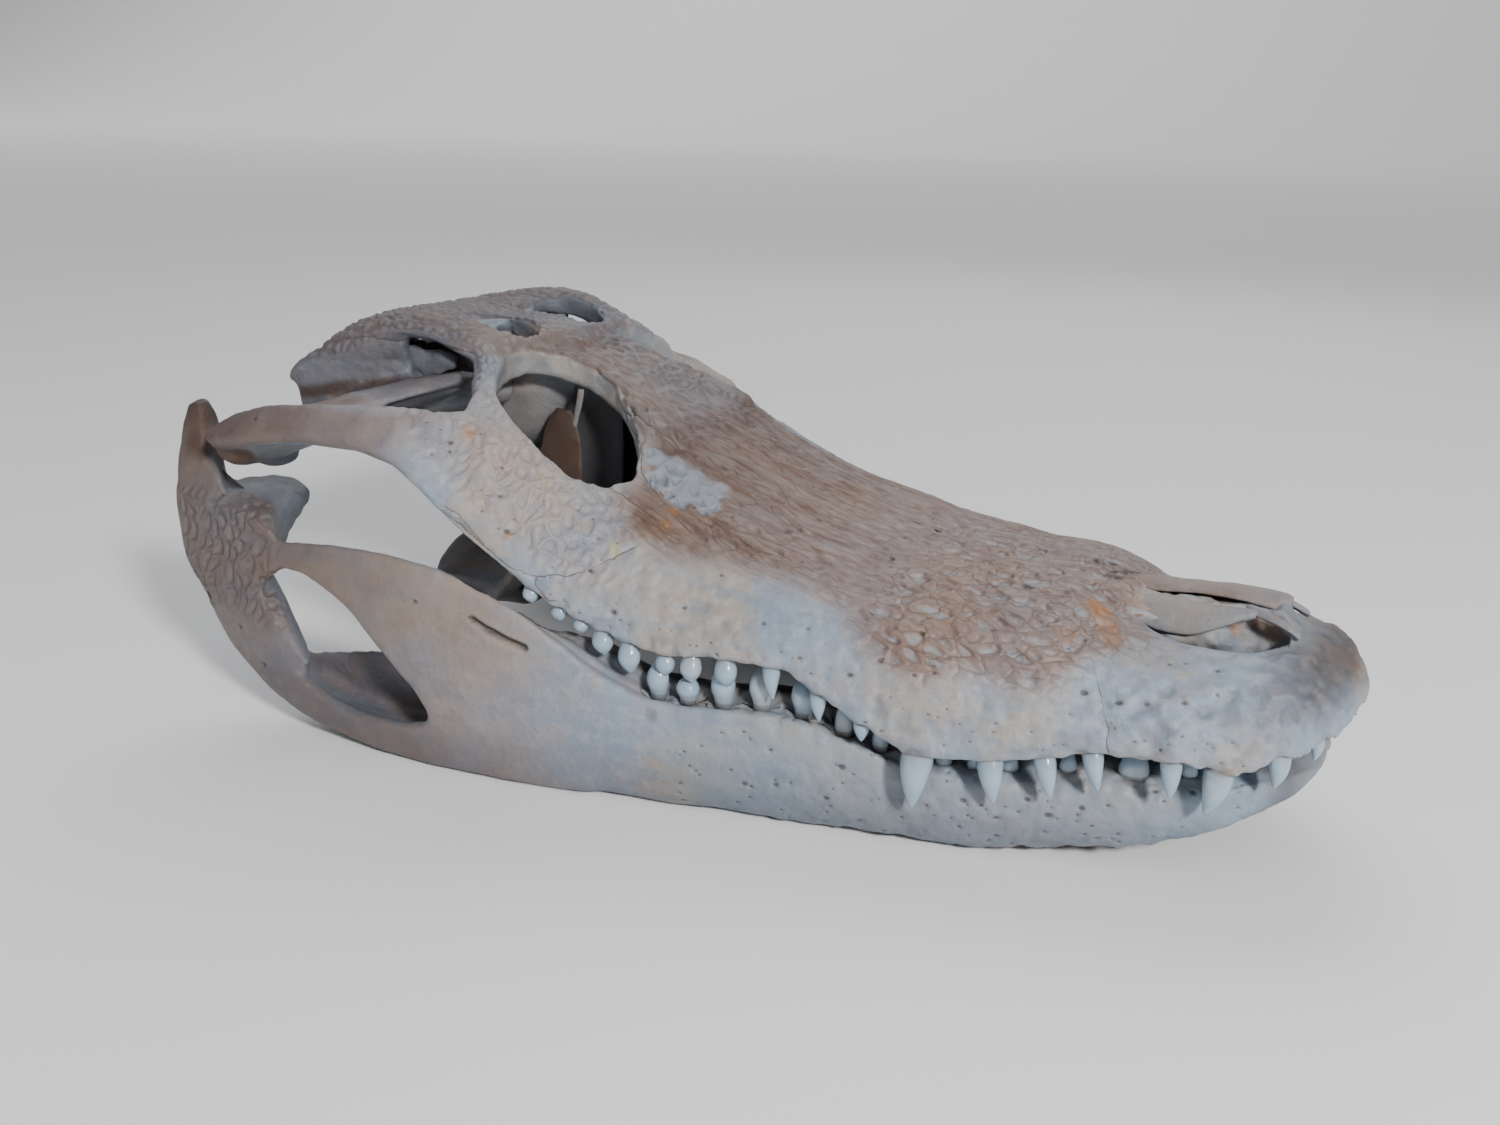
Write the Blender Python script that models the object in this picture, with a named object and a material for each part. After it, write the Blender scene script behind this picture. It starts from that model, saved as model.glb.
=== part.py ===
"""Skull of a young American alligator at life size, resting on its own lower jaw.

The frame is the skull's own: +X to the tip of the snout, +Y to the animal's left, +Z up, with the
origin on the floor under the middle of the skull. Lengths are in millimetres, and new_object turns
them into metres.
Each bone mass is a closed loft or plate laid out from named stations. The masses of the cranium and
of each half of the lower jaw are fused to one surface, given their teeth, and parted at the sutures.
"""

import math

import bmesh
import bpy
import numpy as np
from mathutils import Vector

MM = 0.001

# Driving sizes of the whole skull
SNOUT_TIP = 172.0
GAP = 0.3
VOXEL = 1.3
CRANIUM_TRIANGLES = 4800
JAW_TRIANGLES = 1300
# Spacing of the cross sections, and the length over which the tip of the snout rounds off
STATION_STEP = 4.0
SNOUT_ROUND = 14.0

# Colours of the bone and the materials' finish
BONE = (0.66, 0.60, 0.54, 1.0)
BONE_ROUGHNESS = 0.55

# Cranium along X, seen from above: half width of the tooth margin
MARGIN_WIDTH = [
    (-82, 89.5), (-70, 87.5), (-55, 83.0), (-38, 78.0), (-18, 73.5), (2, 70), (22, 67.5),
    (42, 66), (57, 65), (72, 63.5), (87, 59), (102, 55), (112, 51), (120, 50.5), (132, 49.5),
    (140, 46.5), (147, 43), (157, 36), (164, 28), (169, 18), (172, 4),
]

# Cranium along X, seen from the side: height of the tooth margin and of the middle line on top
MARGIN_HEIGHT = [
    (-82, 97), (-73, 91), (-60, 78), (-44, 65), (-38, 60), (-29, 55), (-18, 50), (-9, 47.5),
    (1, 46), (19, 47.5), (32, 47.5), (44, 42), (56, 36.5), (72, 30.5), (89, 31), (102, 33),
    (117, 36.5), (133, 36.8), (144, 35), (156, 38.5), (167, 42), (172, 45),
]
TOP_HEIGHT = [
    (-82, 116.5), (-75, 115.5), (-60, 112.5), (-40, 104.5), (-20, 95.5), (0, 87.5), (30, 78), (60, 72),
    (80, 70.5), (95, 70.5), (105, 68), (114, 64), (124, 62), (136, 61.5), (150, 62), (158, 62),
    (165, 59.5), (170, 54.5), (172, 50),
]
SEPTUM_RAISE = [(-82, 0), (104, 0), (116, 4.5), (130, 6.5), (146, 6.5), (151, 5), (155, 0), (172, 0)]
SEPTUM_SPREAD = 10.0

# Squareness of the cross section, and the raised rims over the orbits
SECTION_POWER = [
    (-82, 2.4), (-60, 2.5), (-43, 2.4), (-28, 2.15), (-15, 2.1), (10, 2.0), (40, 2.15), (70, 2.6),
    (100, 2.6), (150, 2.4), (172, 2.0),
]
RIM_RAISE = [(-82, 2.0), (-60, 3.5), (-40, 3.5), (-24, 1.5), (-8, 0.4), (10, 0.0), (172, 0.0)]
RIM_PLACE = 24.0
RIM_SPREAD = 10.0

# Orbit outline from above, and where the snout stops being solid
ORBIT = [
    (-25.5, 50), (-25, 43), (-30, 34), (-39, 26), (-51, 19.5), (-63, 18), (-72, 21.5),
    (-76.5, 31), (-74, 42), (-67.5, 52), (-58, 58), (-45, 60), (-33, 57),
]
# Opening behind the bar at the back of the orbit
TEMPLE = [(-70.5, -56), (-77, -47.5), (-96, -46), (-96, -79), (-80, -78), (-66, -73.5)]
# Nostril from above, and the opening of the palate from below
NARIS = [
    (113, -13.5), (117, -18), (126, -21), (135, -21), (144, -18.5), (150.5, -13), (150.5, -7.5),
    (144, -6), (137, -10), (126, -13),
]
NARIS_FLOOR = 48.0
SUBORBITAL = [(6, -30), (2, -40), (-12, -46), (-30, -50), (-30, -16), (-12, -17), (2, -22)]
SUBORBITAL_ROOF = 76.0
CAVITY_FRONT = -19.0
WALL = 7.0
ROOF = 9.0

# Skull table: half width, height and thickness, the notch behind it, and its two fenestrae
TABLE_WIDTH = [
    (-76, 27), (-78, 38), (-82, 43.5), (-95, 45), (-115, 47), (-130, 51), (-141, 57), (-145, 56),
]
TABLE_NOTCH = [(-146, 54.5), (-136, 41), (-129, 28), (-126, 12), (-126, 0)]
TABLE_TOP = [
    (-146, 110), (-137, 116.5), (-128, 124), (-117, 127), (-107, 128.2), (-97, 127.6), (-89, 125),
    (-80, 121.5), (-70, 118.5), (-66, 117),
]
TABLE_DISH_CENTRE = (-98, 0, 128.4)
TABLE_DISH_SIZE = (28, 30, 5)
TABLE_THICKNESS = 8.0
TABLE_STEP = 3.0
# Edge of the table in cross section: share of the half width, and level from the top
TABLE_EDGE = [(0.95, -1.0), (1.0, -0.8), (0.985, -0.45), (0.87, -0.12), (0.72, 0.0)]
FENESTRA_CENTRE = (-91, 18.5)
FENESTRA_SIZE = (13.0, 10.5)

# Lower jaw, seen from above: outer and inner edge of the right half, from the symphysis back
JAW_OUTER = [
    (166.0, 0), (164, 12), (156, 24), (144, 33.5), (128, 40.5), (113, 44.5), (98, 48.5), (80, 54),
    (60, 58.5), (30, 64.5), (0, 71), (-30, 77), (-60, 81.5), (-100, 84), (-130, 84), (-152, 82),
    (-172, 77),
]
JAW_INNER = [
    (127, 0), (126, 3), (122, 8), (114, 14.5), (104, 20), (94, 24), (84, 28), (70, 32.5),
    (54, 37), (28, 43.5), (0, 50), (-30, 57), (-60, 62), (-100, 64.5), (-130, 66), (-152, 68),
    (-170, 69),
]
JAW_BOTTOM = [
    (-173, 52), (-168, 42), (-160, 30), (-150, 21), (-140, 14), (-128, 8), (-116, 4), (-100, 1.5),
    (-84, 0), (84, 0), (100, 1.0), (112, 2.4), (126, 5), (138, 8.5), (148, 12.5), (157, 17.5),
    (163, 22), (166, 26),
]
# Upper edge of the outer wall from the back of the jaw to the symphysis, and of the inner plate
JAW_TOP = [
    (-173, 62), (-166, 80), (-159, 84), (-153, 80), (-149, 74), (-142, 65), (-136, 61.5),
    (-115, 64), (-95, 65.5), (-75, 64), (-60, 61), (-45, 56), (-28, 47), (-16, 40.5), (-6, 37),
    (10, 36), (28, 37.5), (36, 37), (44, 35), (56, 30.5), (72, 26.5), (90, 26), (105, 27.5),
    (117, 28.5), (132, 29), (150, 31), (160, 32), (166, 33),
]
SPLENIAL_TOP = [
    (-146, 32), (-138, 25), (-131, 21), (-124, 22.5), (-115, 24.5), (-95, 28), (-75, 31), (-60, 37),
    (-45, 43), (-28, 44), (-12, 37),
]
OUTER_PLATE = 5.0
INNER_PLATE = 3.6
# How round the lower corners are, and how much of the full width the outer wall fills
JAW_LOWER_ROUNDNESS = [(-173, 0.6), (-20, 0.6), (60, 0.8), (100, 1.0), (166, 1.1)]
JAW_WIDTH_SHARE = [(-173, 0), (-48, 0), (-14, 1), (166, 1)]
JAW_WINDOW = [
    (-137, 42), (-132, 50.5), (-121, 54), (-108, 50), (-95, 41), (-84, 30), (-72, 18),
    (-77, 13.5), (-92, 12), (-109, 14), (-121, 20), (-131, 30),
]

# Teeth of one side: place along X, crown length, width at the gum and lean of the tip along X
UPPER_TEETH = [
    (170, 5, 3.6, 0), (166, 6, 4.2, 0), (158, 9, 6.0, -0.5), (144.8, 12, 7.6, -2.6),
    (132.8, 9, 5.4, 0.6), (113, 10, 5.6, 2.6), (103, 10.5, 5.8, 2.6), (89.5, 12, 7.0, 2.0),
    (71.5, 15, 8.6, -0.6), (56, 5.5, 5.0, 0), (43.5, 8, 5.0, 0.6), (30, 9, 5.2, 0.8),
    (17, 8.5, 5.0, 0.6), (7, 7, 4.8, 0.4), (-0.5, 6, 4.4, 0.4), (-10.8, 8.5, 5.0, 0.6),
    (-18.6, 7, 4.8, 0.8), (-24.8, 4, 3.6, 0.6), (-31, 4, 3.6, 0.6), (-39, 4.5, 3.6, 0.6),
]
LOWER_TEETH = [
    (163, 6, 4.6, 0), (151, 5, 4.4, 0), (137, 5, 4.4, 0), (123, 8.5, 8.0, 0), (107, 5.5, 4.6, 0),
    (93, 5, 4.6, 0), (84, 4.5, 3.8, 0), (76, 5, 4.6, 0), (59, 6.5, 4.6, 0), (49, 7.5, 5.0, 0),
    (38, 8, 5.4, 0), (26.5, 8, 5.4, 0), (16, 8.5, 5.4, 0), (6, 4, 5.2, 0), (-2.5, 7, 5.0, 0),
]
UPPER_INSET = 4.2
LOWER_INSET = 6.2
ROOT_DEPTH = 5.5
TOOTH_SIDES = 6
# Radius of a tooth as a share of its width, at shares of the crown's length above the gum
TOOTH_PROFILE = [(0.0, 0.5), (0.5, 0.42)]
TOOTH_FLARE = 0.08
TOOTH_BOW = 0.06
TOOTH_SEED = 7

# Sutures. The first group is drawn from above and the second from the right side
PREMAXILLA_REAR = [(117, -80), (114, -36), (104, -14), (104, 14), (114, 36), (117, 80)]
FRONTAL_FRONT = [(-40, 38), (-20, 46), (-8, 50.7), (10, 57.7), (16, 60), (20, 90)]
FRONTAL_REAR = [(-74, -30), (-74, 30)]
POSTORBITAL_REAR = [(-82.5, 20), (-82.5, 52)]
QUADRATE_INNER = [(-70, 21), (-106, 21), (-119, 30), (-129.5, 42), (-138, 54), (-152, 64)]
QUADRATE_OUTER = [(-84, 76.5), (-130, 80.5), (-166, 79)]
STRUT_END = [(-20, 64), (-62, 64)]
MAXILLA_REAR = [(-46, 40), (-45, 62), (-42, 66), (-8, 74), (10, 83), (14, 110)]
TABLE_UNDERSIDE = [(-62, 112), (-100, 113), (-152, 110)]
PTERYGOID_TOP = [(-60, 72), (-125, 72)]
DENTARY_REAR = [(-18, 70), (-40, 38), (-74, 16), (-40, -10)]
SURANGULAR_LOW = [(-118, 45), (-134, 40), (-190, 48)]
ARTICULAR_OUTER = [(-112, -74), (-190, -73)]
ARTICULAR_LOW = [(-110, 45), (-190, 52)]


# How far the left cheek lies lower than the right one, along X, and between which widths it sets in
LEFT_DROP = [(-125, 0), (-100, 3), (-75, 6.5), (-55, 6), (-42, 3), (-22, 1), (0, 0.5), (40, 0), (172, 0)]
LEFT_DROP_WIDTH = (8, 62)
# The drop fades out upwards below the skull table, and downwards above the tooth margin
LEFT_DROP_TOP = (117, 112)
LEFT_DROP_FOOT = (66, 82)


def clear_scene():
    for item in list(bpy.data.objects):
        bpy.data.objects.remove(item)


def curve(table):
    """A smooth function through (place, value) pairs, without overshoot."""
    places, values = np.array(sorted(table), float).T
    steps = np.diff(places)
    slopes = np.diff(values) / steps
    bends = np.zeros(len(places))
    same = slopes[:-1] * slopes[1:] > 0
    bends[1:-1][same] = 2.0 / (1.0 / slopes[:-1][same] + 1.0 / slopes[1:][same])
    bends[0], bends[-1] = slopes[0], slopes[-1]

    def value(at):
        at = np.clip(at, places[0], places[-1])
        i = np.clip(np.searchsorted(places, at) - 1, 0, len(steps) - 1)
        t = (at - places[i]) / steps[i]
        near = values[i] + t * t * (3 - 2 * t) * (values[i + 1] - values[i])
        return near + steps[i] * t * (1 - t) * ((1 - t) * bends[i] - t * bends[i + 1])

    return value


margin_width = curve(MARGIN_WIDTH)
margin_height = curve(MARGIN_HEIGHT)
top_height = curve(TOP_HEIGHT)
section_power = curve(SECTION_POWER)
rim_raise = curve(RIM_RAISE)
jaw_bottom = curve(JAW_BOTTOM)
jaw_top = curve(JAW_TOP)
septum_raise = curve(SEPTUM_RAISE)
table_top = curve(TABLE_TOP)
table_width = curve(TABLE_WIDTH)
jaw_lower_roundness = curve(JAW_LOWER_ROUNDNESS)
jaw_width_share = curve(JAW_WIDTH_SHARE)
splenial_top = curve(SPLENIAL_TOP)
left_drop = curve(LEFT_DROP)


def smooth_path(points, count, closed=False):
    """count points spread evenly along a rounded curve through the given ones."""
    base = np.array(points, float)
    if closed:
        base = np.vstack([base[-1], base, base[0], base[1]])
    else:
        base = np.vstack([2 * base[0] - base[1], base, 2 * base[-1] - base[-2]])
    fine = []
    for a, b, c, d in zip(base[:-3], base[1:-2], base[2:-1], base[3:]):
        for t in np.linspace(0, 1, 12, endpoint=False):
            bend = (2 * a - 5 * b + 4 * c - d) * t**2 + (3 * b - a - 3 * c + d) * t**3
            fine.append(0.5 * (2 * b + (c - a) * t + bend))
    fine.append(base[-2])
    fine = np.array(fine)
    along = np.concatenate([[0], np.cumsum(np.linalg.norm(np.diff(fine, axis=0), axis=1))])
    wanted = np.linspace(0, along[-1], count, endpoint=not closed)
    return np.stack([np.interp(wanted, along, fine[:, k]) for k in range(fine.shape[1])], axis=1)


def new_object(name, points, faces):
    """An object from points in millimetres, with its faces turned to point out."""
    mesh = bpy.data.meshes.new(name)
    mesh.from_pydata([Vector(p) * MM for p in points], [], faces)
    build = bmesh.new()
    build.from_mesh(mesh)
    bmesh.ops.recalc_face_normals(build, faces=build.faces)
    build.to_mesh(mesh)
    build.free()
    item = bpy.data.objects.new(name, mesh)
    bpy.context.scene.collection.objects.link(item)
    return item


def loft(name, rings):
    """A closed body through rings of equal point counts."""
    count = len(rings[0])
    points = [tuple(p) for ring in rings for p in ring]
    faces = [tuple(range(count))[::-1]]
    for r in range(len(rings) - 1):
        for k in range(count):
            after = (k + 1) % count
            faces.append((r * count + k, r * count + after, (r + 1) * count + after, (r + 1) * count + k))
    faces.append(tuple((len(rings) - 1) * count + k for k in range(count)))
    return new_object(name, points, faces)


def slab(name, stations, sides=12):
    """A rounded plate: each station is the two ends of its cross section and its thickness."""
    ends = np.array([(a, b) for a, b, _ in stations], float)
    middle = ends.mean(axis=1)
    rings = []
    for i, (a, b, thickness) in enumerate(stations):
        ahead = middle[min(i + 1, len(middle) - 1)] - middle[max(i - 1, 0)]
        across = np.array(b, float) - np.array(a, float)
        long_half = np.linalg.norm(across) / 2
        across = across / (2 * long_half)
        normal = np.cross(ahead, across)
        normal = normal / np.linalg.norm(normal)
        ring = []
        for k in range(sides):
            angle = 2 * math.pi * k / sides
            c, s = math.cos(angle), math.sin(angle)
            c = math.copysign(abs(c) ** 0.5, c)
            s = math.copysign(abs(s) ** 0.8, s)
            ring.append(middle[i] + across * long_half * c + normal * thickness / 2 * s)
        rings.append(ring)
    return loft(name, rings)


def tube(name, stations, sides=12):
    """A round bar: each station is a point and a radius."""
    centres = np.array([p for p, _ in stations], float)
    rings = []
    side = None
    for i, (centre, radius) in enumerate(stations):
        ahead = centres[min(i + 1, len(centres) - 1)] - centres[max(i - 1, 0)]
        ahead = ahead / np.linalg.norm(ahead)
        if side is None:
            side = np.cross(ahead, (0.0, 0.0, 1.0) if abs(ahead[2]) < 0.9 else (1.0, 0.0, 0.0))
        side = side - ahead * side.dot(ahead)
        side = side / np.linalg.norm(side)
        up = np.cross(ahead, side)
        angles = [2 * math.pi * k / sides for k in range(sides)]
        rings.append([centres[i] + radius * (math.cos(a) * side + math.sin(a) * up) for a in angles])
    return loft(name, rings)


def ball(name, centre, radii):
    """A closed ellipsoid."""
    build = bmesh.new()
    bmesh.ops.create_icosphere(build, subdivisions=3, radius=1.0)
    mesh = bpy.data.meshes.new(name)
    for vertex in build.verts:
        vertex.co = Vector([(centre[k] + radii[k] * vertex.co[k]) * MM for k in range(3)])
    build.to_mesh(mesh)
    build.free()
    item = bpy.data.objects.new(name, mesh)
    bpy.context.scene.collection.objects.link(item)
    return item


def prism(name, outline, axis, low, high):
    """An outline in the two other axes, drawn out along one axis. low and high may be functions."""
    rings = []
    for end in (low, high):
        ring = []
        for a, b in outline:
            depth = end(a, b) if callable(end) else end
            ring.append({"y": (a, depth, b), "z": (a, b, depth)}[axis])
        rings.append(ring)
    return loft(name, rings)


def wall(name, line, axis, low, high):
    """A thin sheet along a line, which parts two bones by GAP. It stands along the axis named."""
    line = np.array(line, float)
    ahead = np.gradient(line, axis=0)
    normal = np.stack([-ahead[:, 1], ahead[:, 0]], axis=1)
    normal = normal / np.linalg.norm(normal, axis=1)[:, None] * GAP / 2
    rings = []
    for point, offset in zip(line, normal):
        ends = [end(*point) if callable(end) else end for end in (low, high)]
        corners = [(point - offset, ends[0]), (point + offset, ends[0]), (point + offset, ends[1]),
                   (point - offset, ends[1])]
        rings.append([(a, depth, b) if axis == "y" else (a, b, depth) for (a, b), depth in corners])
    return loft(name, rings)


def mirrored(item):
    """The same body on the other side of the middle plane."""
    mesh = item.data.copy()
    for vertex in mesh.vertices:
        vertex.co.y = -vertex.co.y
    mesh.flip_normals()
    other = bpy.data.objects.new(item.name + "_left", mesh)
    bpy.context.scene.collection.objects.link(other)
    return other


def both(item):
    return [item, mirrored(item)]


def apply_modifiers(item):
    """Bake the modifiers of an object into its mesh."""
    graph = bpy.context.evaluated_depsgraph_get()
    mesh = bpy.data.meshes.new_from_object(item.evaluated_get(graph))
    item.modifiers.clear()
    item.data = mesh


def combine(item, others, operation):
    """One Boolean of an object with a collection of closed bodies, which are then removed."""
    group = bpy.data.collections.new(item.name + "_others")
    bpy.context.scene.collection.children.link(group)
    for other in others:
        bpy.context.scene.collection.objects.unlink(other)
        group.objects.link(other)
    step = item.modifiers.new(operation.lower(), "BOOLEAN")
    step.operation = operation
    step.solver = "EXACT"
    step.operand_type = "COLLECTION"
    step.collection = group
    apply_modifiers(item)
    for other in others:
        bpy.data.objects.remove(other)
    bpy.data.collections.remove(group)


def fuse(name, items, triangles):
    """One even surface round overlapping bodies, smoothed and reduced to a number of triangles."""
    build = bmesh.new()
    for item in items:
        build.from_mesh(item.data)
        bpy.data.objects.remove(item)
    mesh = bpy.data.meshes.new(name)
    build.to_mesh(mesh)
    build.free()
    whole = bpy.data.objects.new(name, mesh)
    bpy.context.scene.collection.objects.link(whole)
    grid = whole.modifiers.new("grid", "REMESH")
    grid.mode = "VOXEL"
    grid.voxel_size = VOXEL * MM
    even = whole.modifiers.new("even", "SMOOTH")
    even.factor = 0.5
    even.iterations = 4
    apply_modifiers(whole)
    whole.data = largest_part(whole.data)
    count = sum(len(face.vertices) - 2 for face in whole.data.polygons)
    fewer = whole.modifiers.new("fewer", "DECIMATE")
    fewer.ratio = triangles / count
    fewer.use_collapse_triangulate = True
    apply_modifiers(whole)
    return whole


def loose_parts(mesh):
    """The face groups of a mesh that aren't joined to each other."""
    parent = list(range(len(mesh.vertices)))

    def root(i):
        while parent[i] != i:
            parent[i] = parent[parent[i]]
            i = parent[i]
        return i

    for edge in mesh.edges:
        a, b = root(edge.vertices[0]), root(edge.vertices[1])
        if a != b:
            parent[a] = b
    groups = {}
    for face in mesh.polygons:
        groups.setdefault(root(face.vertices[0]), []).append(face)
    return list(groups.values())


def part_mesh(mesh, faces):
    """A new mesh from some of the faces of another."""
    used = sorted({v for face in faces for v in face.vertices})
    place = {v: i for i, v in enumerate(used)}
    part = bpy.data.meshes.new(mesh.name)
    points = [mesh.vertices[v].co for v in used]
    part.from_pydata(points, [], [[place[v] for v in face.vertices] for face in faces])
    return part


def largest_part(mesh):
    return part_mesh(mesh, max(loose_parts(mesh), key=len))


def section(x, inset=0.0, drop=0.0, below=None):
    """Cross section of the cranium at one place: a rounded square top on the tooth margin."""
    width = margin_width(x) - inset
    base = margin_height(x)
    top = top_height(x) - drop
    power = section_power(x)
    half = []
    if below is None:
        vault = min(3.5, 0.12 * width)
        ridge = min(9.0, 0.35 * width)
        inner = width - ridge
        half += [(0.0, base + vault), (0.5 * inner, base + vault), (inner - 1.0, base + vault)]
        half += [(inner + 1.0, base + 0.3), (inner + 0.6 * ridge, base), (width - 0.8, base + 0.4)]
    else:
        half += [(0.0, below), (0.5 * width, below), (width, below)]
    for angle in np.linspace(0.04, math.pi / 2, 22):
        across = width * math.cos(angle) ** (2 / power)
        up = base + (top - base) * math.sin(angle) ** (2 / power)
        up += rim_raise(x) * math.exp(-(((across - RIM_PLACE) / RIM_SPREAD) ** 2))
        up += septum_raise(x) * math.exp(-((across / SEPTUM_SPREAD) ** 4))
        half.append((across, up))
    half[-1] = (0.0, half[-1][1])
    right = [(x, -across, up) for across, up in half]
    left = [(x, across, up) for across, up in half[1:-1][::-1]]
    return right + left


def cranium_shell():
    """Snout, forehead and cheeks: solid as far as the orbits, and a shell behind."""
    places = list(SNOUT_TIP - SNOUT_ROUND * (1 - np.cos(np.linspace(0.05, math.pi / 2, 7))))
    places += list(np.arange(SNOUT_TIP - SNOUT_ROUND - STATION_STEP, -80, -STATION_STEP))
    shell = loft("shell", [section(x) for x in places])
    hollow_places = np.arange(CAVITY_FRONT, -95, -STATION_STEP)
    hollow = loft("hollow", [section(x, WALL, ROOF, below=20) for x in hollow_places])
    cutters = [hollow]
    orbit = smooth_path([(x, -y) for x, y in ORBIT], 40, closed=True)
    cutters += both(prism("orbit", orbit, "z", 60, 140))
    cutters += both(prism("temple", TEMPLE, "z", 70, 140))
    cutters += both(prism("naris", smooth_path(NARIS, 30, closed=True), "z", NARIS_FLOOR, 80))
    cutters += both(prism("suborbital", smooth_path(SUBORBITAL, 24, closed=True), "z", 20, SUBORBITAL_ROOF))
    combine(shell, cutters, "DIFFERENCE")
    return shell


def skull_table():
    """The flat roof behind the orbits, with its two fenestrae and rear horns."""
    rings = []
    for x in np.arange(TABLE_WIDTH[0][0], TABLE_WIDTH[-1][0] - 1, -TABLE_STEP):
        half, top = float(table_width(x)), float(table_top(x))
        right = [(-half * shrink, top + level * TABLE_THICKNESS) for shrink, level in TABLE_EDGE]
        left = [(-y, z) for y, z in right[::-1]]
        rings.append([(x, y, z) for y, z in right + left])
    table = loft("table", rings)
    notch = [tuple(p) for p in smooth_path(TABLE_NOTCH, 12)]
    notch = [(-170, 60)] + notch + [(x, -y) for x, y in notch[-2::-1]] + [(-170, -60)]
    holes = [prism("notch", notch, "z", 90, 140), ball("table_dish", TABLE_DISH_CENTRE, TABLE_DISH_SIZE)]
    for side in (-1, 1):
        ring = []
        for k in range(20):
            a = 2 * math.pi * k / 20
            across = side * FENESTRA_CENTRE[1] + FENESTRA_SIZE[1] * math.sin(a)
            ring.append((FENESTRA_CENTRE[0] + FENESTRA_SIZE[0] * math.cos(a), across))
        holes.append(prism("fenestra", ring, "z", 90, 140))
    combine(table, holes, "DIFFERENCE")
    return table


def squamosal_flange():
    """The smooth wall that hangs from the rear corner of the table to the quadrate."""
    return slab("squamosal_flange", [
        ((-108, -43, 121), (-108, -38, 106), 6),
        ((-120, -46, 120), (-121, -43, 102), 8),
        ((-132, -50, 116), (-133, -48, 98), 8),
        ((-142, -54, 111), (-142, -53, 96), 6),
    ])


def cheek_bar():
    """Jugal and quadratojugal behind the orbit, down to the jaw joint."""
    return slab("cheek_bar", [
        ((-56, -82, 78), (-54, -66, 101), 8),
        ((-66, -85, 86), (-64, -66, 104), 8),
        ((-75, -87, 93), (-74, -72, 106), 8),
        ((-88, -89, 97), (-88, -76, 106), 8),
        ((-105, -89, 96.5), (-105, -80, 105), 8),
        ((-125, -88.5, 93.5), (-125, -81, 103), 8),
        ((-140, -87.5, 90), (-138, -80, 99), 7),
        ((-149, -86, 89.5), (-147, -80, 95), 5),
    ])


def postorbital_bar():
    return tube("postorbital_bar", [
        ((-60, -71, 95), 4.4), ((-64, -64, 101), 3.8), ((-69, -55, 107), 3.6),
        ((-75, -46, 113), 4.2), ((-79, -38, 116), 5.0),
    ])


def quadrate():
    """From the side of the braincase out and back to the double condyle of the jaw joint."""
    body = slab("quadrate", [
        ((-84, -20, 104), (-100, -16, 98), 10),
        ((-90, -34, 106), (-116, -28, 98), 11),
        ((-98, -50, 105), (-128, -42, 95), 11),
        ((-107, -66, 103), (-136, -56, 90), 11),
        ((-118, -80, 99), (-143, -66, 86), 11),
        ((-132, -86, 94), (-146, -72, 84), 9),
    ])
    condyle = tube("condyle", [
        ((-143, -58, 85), 5.6), ((-144, -64, 85), 6.4), ((-144.5, -71, 87), 5.4), ((-144, -78, 88), 6.0),
        ((-143, -83, 89), 5.0),
    ])
    return [body, condyle]


def occiput():
    """Braincase, condyle of the neck, and the paroccipital wings."""
    core = slab("core", [
        ((-70, 0, 96), (-70, 0, 118), 16),
        ((-82, 0, 84), (-82, 0, 118), 30),
        ((-96, 0, 76), (-96, 0, 118), 36),
        ((-112, 0, 72), (-112, 0, 118), 38),
        ((-124, 0, 74), (-122, 0, 116), 36),
        ((-129, 0, 80), (-126, 0, 112), 26),
    ], 20)
    neck_condyle = ball("neck_condyle", (-131, 0, 91), (9, 8, 6.5))
    spinal_hole = tube("spinal_hole", [((-140, 0, 104), 6.5), ((-112, 0, 103), 5.5)])
    combine(core, [spinal_hole], "DIFFERENCE")
    wing = slab("wing", [
        ((-124, -8, 92), (-122, -8, 114), 11),
        ((-128, -24, 92), (-125, -24, 115), 9),
        ((-134, -40, 93), (-130, -40, 115), 8),
        ((-142, -54, 96), (-139, -54, 113), 6),
    ])
    return [core, neck_condyle] + both(wing)


def smooth_step(value, start, end):
    share = np.clip((value - start) / (end - start), 0, 1)
    return share * share * (3 - 2 * share)


def lower_left_cheek(cranium):
    """Let the left cheek down a little: the two sides of this skull aren't quite alike."""
    for vertex in cranium.data.vertices:
        x, y, z = vertex.co / MM
        drop = float(left_drop(x)) * smooth_step(y, *LEFT_DROP_WIDTH)
        vertex.co.z -= drop * smooth_step(z, *LEFT_DROP_TOP) * smooth_step(z, *LEFT_DROP_FOOT) * MM


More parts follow.
